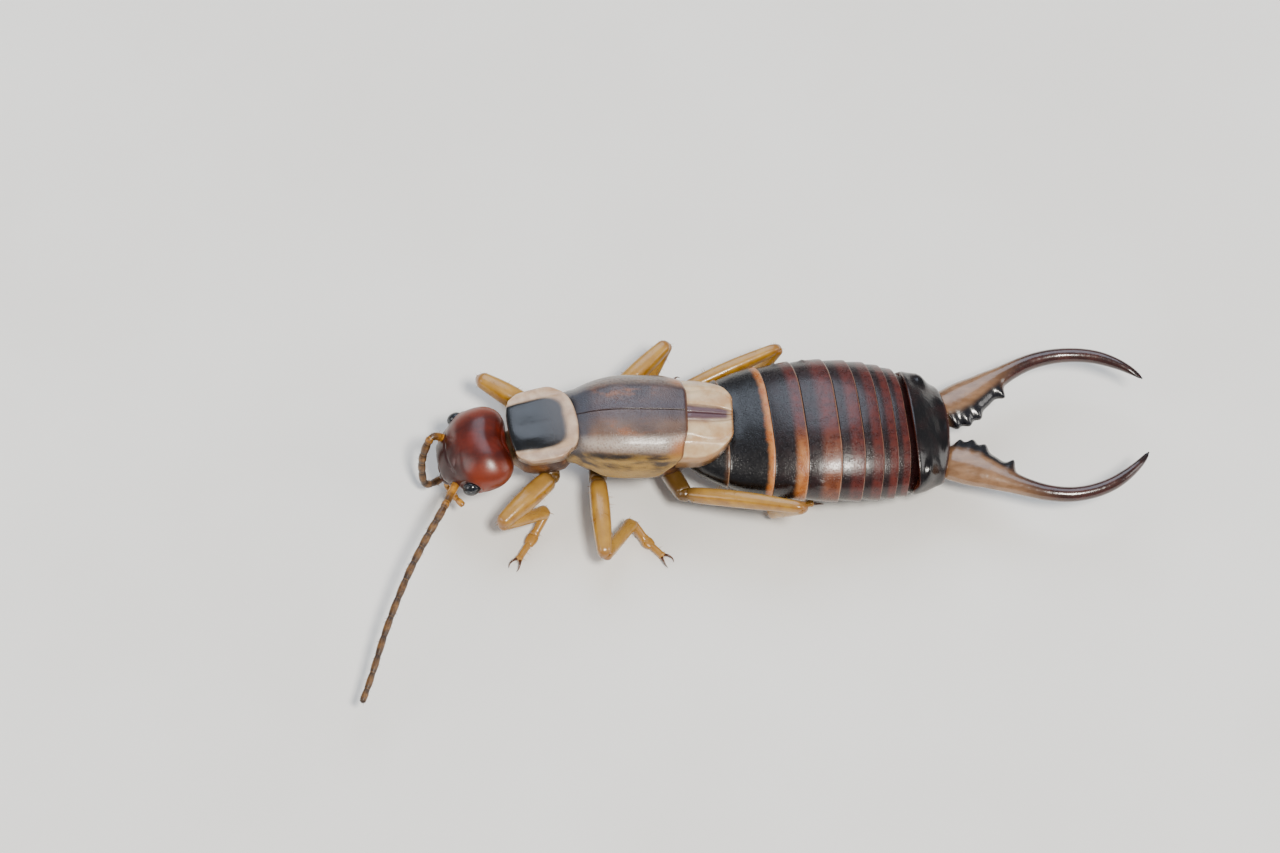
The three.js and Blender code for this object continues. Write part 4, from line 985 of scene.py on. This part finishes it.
def recipe(name, inputs, nodes, wires):
    """Geometry Nodes that plant small meshes on a piece and end as one real mesh in one material.

    Nodes are {key: (type, settings, input values)} and wires (key, output, key, input)."""
    group = bpy.data.node_groups.new(name, "GeometryNodeTree")
    for label, kind in {"Geometry": "Geometry", **inputs, "Material": "Material"}.items():
        group.interface.new_socket(label, in_out="INPUT", socket_type=f"NodeSocket{kind}")
    group.interface.new_socket("Geometry", in_out="OUTPUT", socket_type="NodeSocketGeometry")
    nodes = {
        "given": ("NodeGroupInput", {}, {}), **nodes,
        "turned": ("FunctionNodeAlignEulerToVector", {"axis": "Z"}, {}),
        "planted": ("GeometryNodeInstanceOnPoints", {}, {}),
        "real": ("GeometryNodeRealizeInstances", {}, {}), "joined": ("GeometryNodeJoinGeometry", {}, {}),
        "coat": ("GeometryNodeSetMaterial", {}, {}), "result": ("NodeGroupOutput", {}, {}),
    }
    made = {}
    for key, (kind, settings, values) in nodes.items():
        made[key] = group.nodes.new(kind)
        for setting, value in settings.items():
            setattr(made[key], setting, value)
        for socket, value in values.items():
            made[key].inputs[socket].default_value = value
    for source, output, target, socket in (
        *wires,
        ("turned", "Rotation", "planted", "Rotation"), ("planted", "Instances", "real", "Geometry"),
        ("given", "Geometry", "joined", "Geometry"), ("real", "Geometry", "joined", "Geometry"),
        ("joined", "Geometry", "coat", "Geometry"), ("given", "Material", "coat", "Material"),
        ("coat", "Geometry", "result", "Geometry"),
    ):
        group.links.new(made[source].outputs[output], made[target].inputs[socket])
    return group


def grown(piece, group, **settings):
    """Runs a recipe on a piece with the named inputs and keeps the result as its plain mesh."""
    modifier = piece.modifiers.new("recipe", "NODES")
    modifier.node_group = group
    for item in group.interface.items_tree:
        label = item.name.replace(" ", "_").lower()
        if item.in_out == "INPUT" and label in settings:
            modifier[item.identifier] = settings[label]
    result = piece.evaluated_get(bpy.context.evaluated_depsgraph_get())
    mesh = bpy.data.meshes.new_from_object(result)
    piece.modifiers.remove(modifier)
    piece.data = mesh
    mesh.polygons.foreach_set("use_smooth", [True] * len(mesh.polygons))
    return piece


eye_look = Finish("eye_black")
eye_sheen_clouds = eye_look.noise(6.0)
# Painted sheen: the bluish clouds in the black of the eyes.
eye_tone = eye_sheen_clouds.clouds(0.3, 0.7, "#06080c", "#151b26")
eye_paint = eye_look.surface(eye_tone, 0.14 + eye_sheen_clouds * 0.06, [(eye_look.noise(60.0), 0.001)],
                             coat=(0.5, 0.05), specular=0.6)
lens_field = recipe(
    "lens_field", {"Lens Radius": "Float"},
    {
        "bead": ("GeometryNodeMeshIcoSphere", {}, {"Subdivisions": 1}),
        "facing": ("GeometryNodeInputNormal", {}, {}),
    },
    [
        ("given", "Lens Radius", "bead", "Radius"), ("given", "Geometry", "planted", "Points"),
        ("bead", "Mesh", "planted", "Instance"), ("facing", "Normal", "turned", "Vector"),
    ],
)
for name, side_sign in SIDES:
    edit = bmesh.new()
    bmesh.ops.create_icosphere(edit, subdivisions=EYE_SUBDIVISIONS, radius=1.0)
    for vertex in edit.verts:
        f, r, u = np.array(vertex.co) * EYE_SIZE
        local = on_head.at(EYE_PLACE[0] + f, side_sign * EYE_PLACE[1] + r, EYE_PLACE[2] + u)
        vertex.co = placed(local)
    bmesh.ops.recalc_face_normals(edit, faces=edit.faces)
    eye_mesh = bpy.data.meshes.new(f"eye_{name}_lenses")
    edit.to_mesh(eye_mesh)
    edit.free()
    eye_mesh.materials.append(eye_paint)
    eye = added(f"eye_{name}_lenses", eye_mesh)
    grown(eye, lens_field, lens_radius=LENS * MM, material=eye_paint)
    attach(eye, "root")
    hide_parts(f"eye_{name}")

# Mouthparts. The upper lip hangs over two hard biting jaws, with a jointed golden palp beside
# them on each side and a shorter pair under the lower lip.
AMBER_DARK, AMBER_LIGHT = "#8a5312", "#d59a3a"


def jointed(skin, points, joints, thick, sides=18, rows_each=9, waist=0.72, taper=0.0, **marks):
    """A chain of swollen joints along a curve, with a narrow waist between them."""
    cuts = np.cumsum([0, *joints]) / sum(joints)
    rows = rows_each * len(joints)
    made = limb(points, rows, sides, lambda t: (1.0, 1.0, 1.0))
    fractions, shares = [], np.linspace(0, 1, rows)
    for k, t in enumerate(shares):
        n = min(int(np.searchsorted(cuts, t, "right")) - 1, len(joints) - 1)
        inside = (t - cuts[n]) / (cuts[n + 1] - cuts[n])
        bead = waist + (1 - waist) * math.sin(math.pi * min(max(inside, 0.03), 0.97)) ** 0.5
        radius = thick * bead * (1 - taper * t)
        if t > 1 - 0.5 / rows_each / len(joints):
            radius *= 0.35
        centre = made[k].mean(0)
        made[k] = centre + (made[k] - centre) * radius
        fractions.append(inside)
    skin.wrap(made, share=shares[:, None], joint=np.array(fractions)[:, None], **marks)


mouth_skin = Skin("share", "joint", "palp")
LIP = [(0.78, 0.3, 0.03), (0.86, 0.38, 0.06), (0.98, 0.38, 0.07), (1.06, 0.32, 0.06), (1.12, 0.2, 0.04),
       (1.13, 0.1, 0.02)]
LIP_DEPTH, LIP_DROOP = 0.14, 0.8
lip = [on_head.ring((u, 0, -LIP_DEPTH - LIP_DROOP * (u - LIP[0][0])), w, h, h, 30, 2.6)
       for u, w, h in LIP]
mouth_skin.wrap(lip, share=0.1, joint=0.5, palp=0.0)
MOUTH_FLOOR = [(0.5, 0.3, 0.16), (0.62, 0.36, 0.2), (0.8, 0.38, 0.22), (0.94, 0.34, 0.2),
               (1.02, 0.26, 0.16), (1.05, 0.12, 0.1)]
FLOOR_DEPTH = 0.46
mouth_floor = [on_head.ring((u, 0, -FLOOR_DEPTH), w, h, h, 36, 2.6) for u, w, h in MOUTH_FLOOR]
mouth_skin.wrap(mouth_floor, share=0.2, joint=0.5, palp=0.2)
JAW = [(0.8, 0.34, -0.36), (1.0, 0.32, -0.42), (1.12, 0.16, -0.48), (1.14, 0.02, -0.5)]
LONG_PALP_JOINTS, LONG_PALP_HALF = [0.5, 0.6, 1.1, 1.2, 1.3], 0.085
SHORT_PALP_JOINTS, SHORT_PALP_HALF = [0.8, 1.0, 1.1], 0.07
LONG_PALP = [(0.8, 0.22, -0.5), (0.98, 0.58, -0.62), (0.86, 0.88, -0.66), (0.8, 0.98, -0.7)]
SHORT_PALP = [(0.92, 0.12, -0.6), (1.14, 0.25, -0.8), (1.0, 0.38, -0.9)]


def jaw_size(t):
    return 0.13 - 0.09 * t, 0.1 - 0.06 * t, 0.1 - 0.06 * t


for _, side_sign in SIDES:
    jaw, long_palp, short_palp = (
        [on_head.at(ahead, side_sign * out, up) for ahead, out, up in line]
        for line in (JAW, LONG_PALP, SHORT_PALP)
    )
    mouth_skin.wrap(limb(jaw, 24, 16, jaw_size), share=0.0, joint=0.5, palp=0.0)
    jointed(mouth_skin, long_palp, LONG_PALP_JOINTS, LONG_PALP_HALF, palp=1.0)
    jointed(mouth_skin, short_palp, SHORT_PALP_JOINTS, SHORT_PALP_HALF, palp=1.0)
mouth = Finish("mouth_parts")
palp_mask, palp_joint = mouth.mark("palp"), mouth.mark("joint")
mouth_noise = mouth.noise(5.0, 3.0)
mouth_tone = mouth_noise.clouds(0.3, 0.7, "#2a0d08", "#5a2210")
palp_tone = mouth_noise.clouds(0.3, 0.7, AMBER_DARK, AMBER_LIGHT)
palp_tone = ((1 - palp_joint.peak(0.5, 0.46)) * 0.6).between(palp_tone, "#5b3410")
mouth_paint = mouth.surface(palp_mask.between(mouth_tone, palp_tone), 0.24, [(mouth.noise(30.0), 0.003)],
                            coat=(0.2, 0.1), specular=0.55)
mouthparts = mouth_skin.piece("mouth_set", mouth_paint)
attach(mouthparts, "root")
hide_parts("mouthparts")

# Feelers. Fourteen joints each: a long golden first one, a tiny second, then brown beads that
# grow longer towards the tip, each with a dark waist.
FEELER_JOINTS = [1.4, 0.3, 0.65, 0.55, 0.6, 0.68, 0.74, 0.78, 0.8, 0.8, 0.78, 0.72, 0.66, 0.54]
FEELER_ROUTES = {
    "left": [(-4.98, -2.29, 1.88), (-5.49, -3.23, 1.76), (-5.92, -4.13, 1.62), (-6.43, -5.44, 1.38),
             (-6.79, -6.57, 1.14), (-7.04, -7.27, 0.98)],
    "right": [(-5.2, -0.3, 2.0), (-5.4, -0.55, 1.6), (-5.42, -0.74, 1.1), (-5.3, -0.86, 0.62),
              (-4.95, -0.62, 0.38), (-4.3, -0.02, 0.34), (-3.75, 0.5, 0.34), (-3.3, 1.0, 0.34)],
}
# Tapering hairs, scattered where the mesh's hair mark is high, and leaning to one side
bristles = recipe(
    "bristles", {"Density": "Float", "Length": "Float", "Radius": "Float", "Lean": "Vector", "Seed": "Int"},
    {
        "hairy": ("GeometryNodeInputNamedAttribute", {"data_type": "FLOAT"}, {"Name": "hair"}),
        "amount": ("ShaderNodeMath", {"operation": "MULTIPLY"}, {}),
        "spots": ("GeometryNodeDistributePointsOnFaces", {}, {}),
        "hair": ("GeometryNodeMeshCone", {}, {"Vertices": 4, "Radius Top": 0.0}),
        "tilt": ("ShaderNodeVectorMath", {}, {}),
        "sizes": ("FunctionNodeRandomValue", {"data_type": "FLOAT"}, {2: 0.6, 3: 1.25}),
    },
    [
        ("given", "Density", "amount", 0), ("hairy", "Attribute", "amount", 1),
        ("given", "Geometry", "spots", "Mesh"), ("amount", 0, "spots", "Density"),
        ("given", "Seed", "spots", "Seed"), ("given", "Seed", "sizes", "Seed"),
        ("given", "Length", "hair", "Depth"), ("given", "Radius", "hair", "Radius Bottom"),
        ("spots", "Normal", "tilt", 0), ("given", "Lean", "tilt", 1),
        ("tilt", "Vector", "turned", "Vector"), ("spots", "Points", "planted", "Points"),
        ("hair", "Mesh", "planted", "Instance"), ("sizes", 1, "planted", "Scale"),
    ],
)
PER_SQUARE_MM = 1e6
FEELER_HALF = 0.108
FEELER_HAIRS = {"density": 55 * PER_SQUARE_MM, "length": 0.075 * MM, "radius": 0.0045 * MM, "seed": 3}
feeler = Finish("feeler")
f_share, f_joint = feeler.mark("share"), feeler.mark("joint")
f_noise = feeler.noise(8.0, 3.0)
scape_tone = f_noise.clouds(0.3, 0.7, "#8f5a17", "#c98a2d")
bead_tone = f_noise.clouds(0.3, 0.7, "#4b2f14", "#7b5526")
feeler_tone = f_share.rise(0.12, 0.2).between(scape_tone, bead_tone)
waist_mask = 1 - f_joint.peak(0.5, 0.48)
feeler_tone = (waist_mask * 0.85).between(feeler_tone, "#1d0f07")
feeler_paint = feeler.surface(feeler_tone, 0.38, [(feeler.noise(40.0, 2.0), 0.004)], coat=(0.15, 0.2))
for name, side_sign in SIDES:
    root = on_head.at(FEELER_ROOT[0] - 0.1, side_sign * (FEELER_ROOT[1] - 0.06), FEELER_ROOT[2])
    feeler_skin = Skin("share", "joint", "hair")
    jointed(feeler_skin, [root, *FEELER_ROUTES[name]], FEELER_JOINTS, FEELER_HALF,
            sides=20, rows_each=12, waist=0.74, taper=0.2, hair=1.0)
    antenna = feeler_skin.piece(f"feeler_{name}", feeler_paint)
    towards_tip = unit(np.array(FEELER_ROUTES[name][-1]) - root)
    grown(antenna, bristles, **FEELER_HAIRS, lean=tuple(towards_tip * 0.9), material=feeler_paint)
    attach(antenna, "root")
    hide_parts(f"antenna_{name}")

# Legs. Six honey-coloured legs: a short hip, a stout thigh, a slim shin and a foot of three
# joints, the middle one heart-shaped, with two claws.
LEGS = {  # hip, root of the thigh, knee, ankle and toe
    "front_left": [(-2.3, -0.62, 1.3), (-2.18, -1.02, 1.3), (-3.5, -2.34, 1.2),
                   (-2.26, -1.54, 0.46), (-3.0, -2.76, 0.12)],
    "front_right": [(-2.5, 0.24, 1.3), (-2.4, 0.72, 1.32), (-3.97, 1.6, 1.66),
                    (-2.9, 1.6, 0.46), (-3.35, 2.2, 0.12)],
    "middle_left": [(-1.0, -0.7, 1.2), (-1.04, -1.1, 1.3), (-0.92, -3.21, 1.2),
                    (-0.13, -1.84, 0.46), (0.66, -2.62, 0.12)],
    "middle_right": [(-0.9, 0.7, 1.2), (-0.72, 1.12, 1.34), (0.8, 2.57, 1.8),
                     (0.25, 1.9, 0.46), (1.1, 2.38, 0.12)],
    "hind_left": [(0.75, -0.7, 1.15), (1.12, -1.5, 1.34), (3.98, -2.42, 2.34),
                  (3.4, -1.5, 0.46), (4.5, -1.02, 0.12)],
    "hind_right": [(0.75, 0.7, 1.15), (1.12, 1.48, 1.26), (3.62, 2.54, 1.72),
                   (3.0, 2.3, 0.46), (4.1, 2.75, 0.12)],
}
THIGH_HALF = {"front": 0.29, "middle": 0.27, "hind": 0.215}
SHIN_HALF = 0.165
HAIRINESS = (0.0, 0.25, 1.0, 0.8)  # of hip, thigh, shin and foot
LEG_HAIRS = {"density": 42 * PER_SQUARE_MM, "length": 0.13 * MM, "radius": 0.006 * MM, "seed": 5}
HEEL_HEIGHT = 0.15
HEEL_SHARE, FOOT_SHARE = 0.45, 0.38  # places of the foot's two inner joints
CLAW_HALF = 0.045
END_ROUND = 0.09  # share of a joint over which each end is rounded
CLAW = [(-0.06, 0.03, 0.0), (0.08, 0.1, 0.03), (0.2, 0.13, -0.02), (0.26, 0.11, -0.09)]  # ahead, out and up
leg_look = Finish("leg_amber")
l_share, l_part, l_over = leg_look.mark("share"), leg_look.mark("part"), leg_look.mark("over")
l_noise = leg_look.noise(3.5, 4.0)
hip_shade = 1 - l_part.rise(0.45, 0.95)
thigh_root_shade = l_part.peak(1.0, 0.4) * (1 - l_share.rise(0.02, 0.2))
knee = l_part.peak(1.0, 0.5) * l_share.rise(0.86, 1.0)
knee = knee + l_part.peak(2.0, 0.5) * (1 - l_share.rise(0.0, 0.14))
# Painted highlight: the pale tops of the joints. Painted shade: the dark hips and thigh roots where they
# lie under the body and wing cases.
leg_tone = l_noise.clouds(0.25, 0.75, "#8a5a06", "#ac7d14").under(
    (l_over.rise(0.5, 1.0) * 0.4, "#b99457"), (hip_shade * 0.8, "#33200c"),
    (thigh_root_shade * 0.7, "#3a1f0b"), (knee * 0.6, "#7a4420"),
    (l_part.rise(2.4, 2.9) * 0.5, "#a8742e"), (l_part.rise(3.4, 3.9), "#4a260c"),
)
leg_relief = [(leg_look.cells(24.0), 0.0015), (leg_look.noise(5.0, 2.0), 0.006)]
leg_paint = leg_look.surface(
    leg_tone, 0.25 + l_noise * 0.08, leg_relief,
    coat=(0.3, 0.1), specular=0.55, glow=(0.1, 0.3, (1.0, 0.7, 0.2)),
)


def segment(skin, start, end, halves, part, rows=40, sides=28, bulge=0.25, bow=0.0, flare=0.0):
    """One limb joint between two points: round ends, a swelling, and a slight bow."""
    start, end = np.asarray(start, float), np.asarray(end, float)
    middle = (start + end) / 2 + UP * bow

    def size(t):
        to_end = min(t, 1 - t) / END_ROUND
        end_round = math.sqrt(min(1.0, max(0.03, 1 - (1 - to_end) ** 2))) if to_end < 1 else 1.0
        swell = 1 - bulge + bulge * math.sin(math.pi * min(0.2 + t * 0.8, 1))
        swell += flare * smooth(t, 0.75, 0.97)
        width, height = halves[0] * swell * end_round, halves[1] * swell * end_round
        return width, height, height

    made = limb([start, middle, end], rows, sides, size, 2.6)
    over = np.sin(full_turn(sides))
    hair = HAIRINESS[part] * smooth(over, -0.5, 0.1)
    skin.wrap(made, share=np.linspace(0, 1, rows)[:, None], part=float(part), over=over, hair=hair)


for place, points in LEGS.items():
    kind = place.split("_")[0]
    hip, root, knee_point, ankle, toe = (np.array(p) for p in points)
    leg_skin = Skin("share", "part", "over", "hair")
    segment(leg_skin, hip, root + 0.04 * unit(root - hip), (0.24, 0.24), 0, rows=24, bulge=0.15)
    thigh = unit(knee_point - root)
    thigh_side = unit(np.cross(UP, thigh))
    thigh_axes = (thigh, thigh_side, np.cross(thigh, thigh_side))
    leg_skin.ball(root, (0.22, 0.19, 0.19), thigh_axes, share=0.0, part=0.5, over=0.3)
    half = THIGH_HALF[kind]
    segment(leg_skin, root, knee_point + 0.05 * thigh, (half * 0.9, half), 1,
            rows=56, sides=36, bulge=0.34, bow=0.05)
    shin = unit(ankle - knee_point)
    segment(leg_skin, knee_point - 0.04 * shin, ankle + 0.03 * shin, (SHIN_HALF, SHIN_HALF * 0.95), 2,
            rows=44, bulge=0.08, bow=-0.02, flare=0.14)
    flat = toe - ankle
    heel = ankle + flat * HEEL_SHARE
    heel[2] = HEEL_HEIGHT
    foot_mid = heel + (toe - heel) * FOOT_SHARE
    foot_way = unit(toe - heel)
    segment(leg_skin, ankle - 0.02 * unit(flat), heel, (0.11, 0.12), 3,
            rows=26, sides=20, bulge=0.1, flare=0.25)
    segment(leg_skin, heel - 0.05 * foot_way, foot_mid, (0.15, 0.1), 3,
            rows=20, sides=20, bulge=0.3)
    segment(leg_skin, foot_mid - 0.08 * foot_way, toe, (0.085, 0.085), 3,
            rows=20, sides=18, bulge=0.1, flare=0.3)
    forward = unit((toe - heel) * (1, 1, 0))
    across = np.array([-forward[1], forward[0], 0])
    for _, side_sign in SIDES:
        claw = [toe + forward * f + across * side_sign * out + UP * u for f, out, u in CLAW]
        claw_rings = limb(claw, 16, 10, lambda t: (CLAW_HALF * (1 - 0.9 * t),) * 3)
        leg_skin.wrap(claw_rings, share=1.0, part=4.0, over=0.0)
    leg = leg_skin.piece(f"leg_{place}", leg_paint)
    grown(leg, bristles, **LEG_HAIRS, lean=tuple(unit(toe - knee_point) * 0.8), material=leg_paint)
    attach(leg, "root")
    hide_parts(*(f"leg_{place}_{part}" for part in ("coxa", "femur", "tibia", "tarsus")))
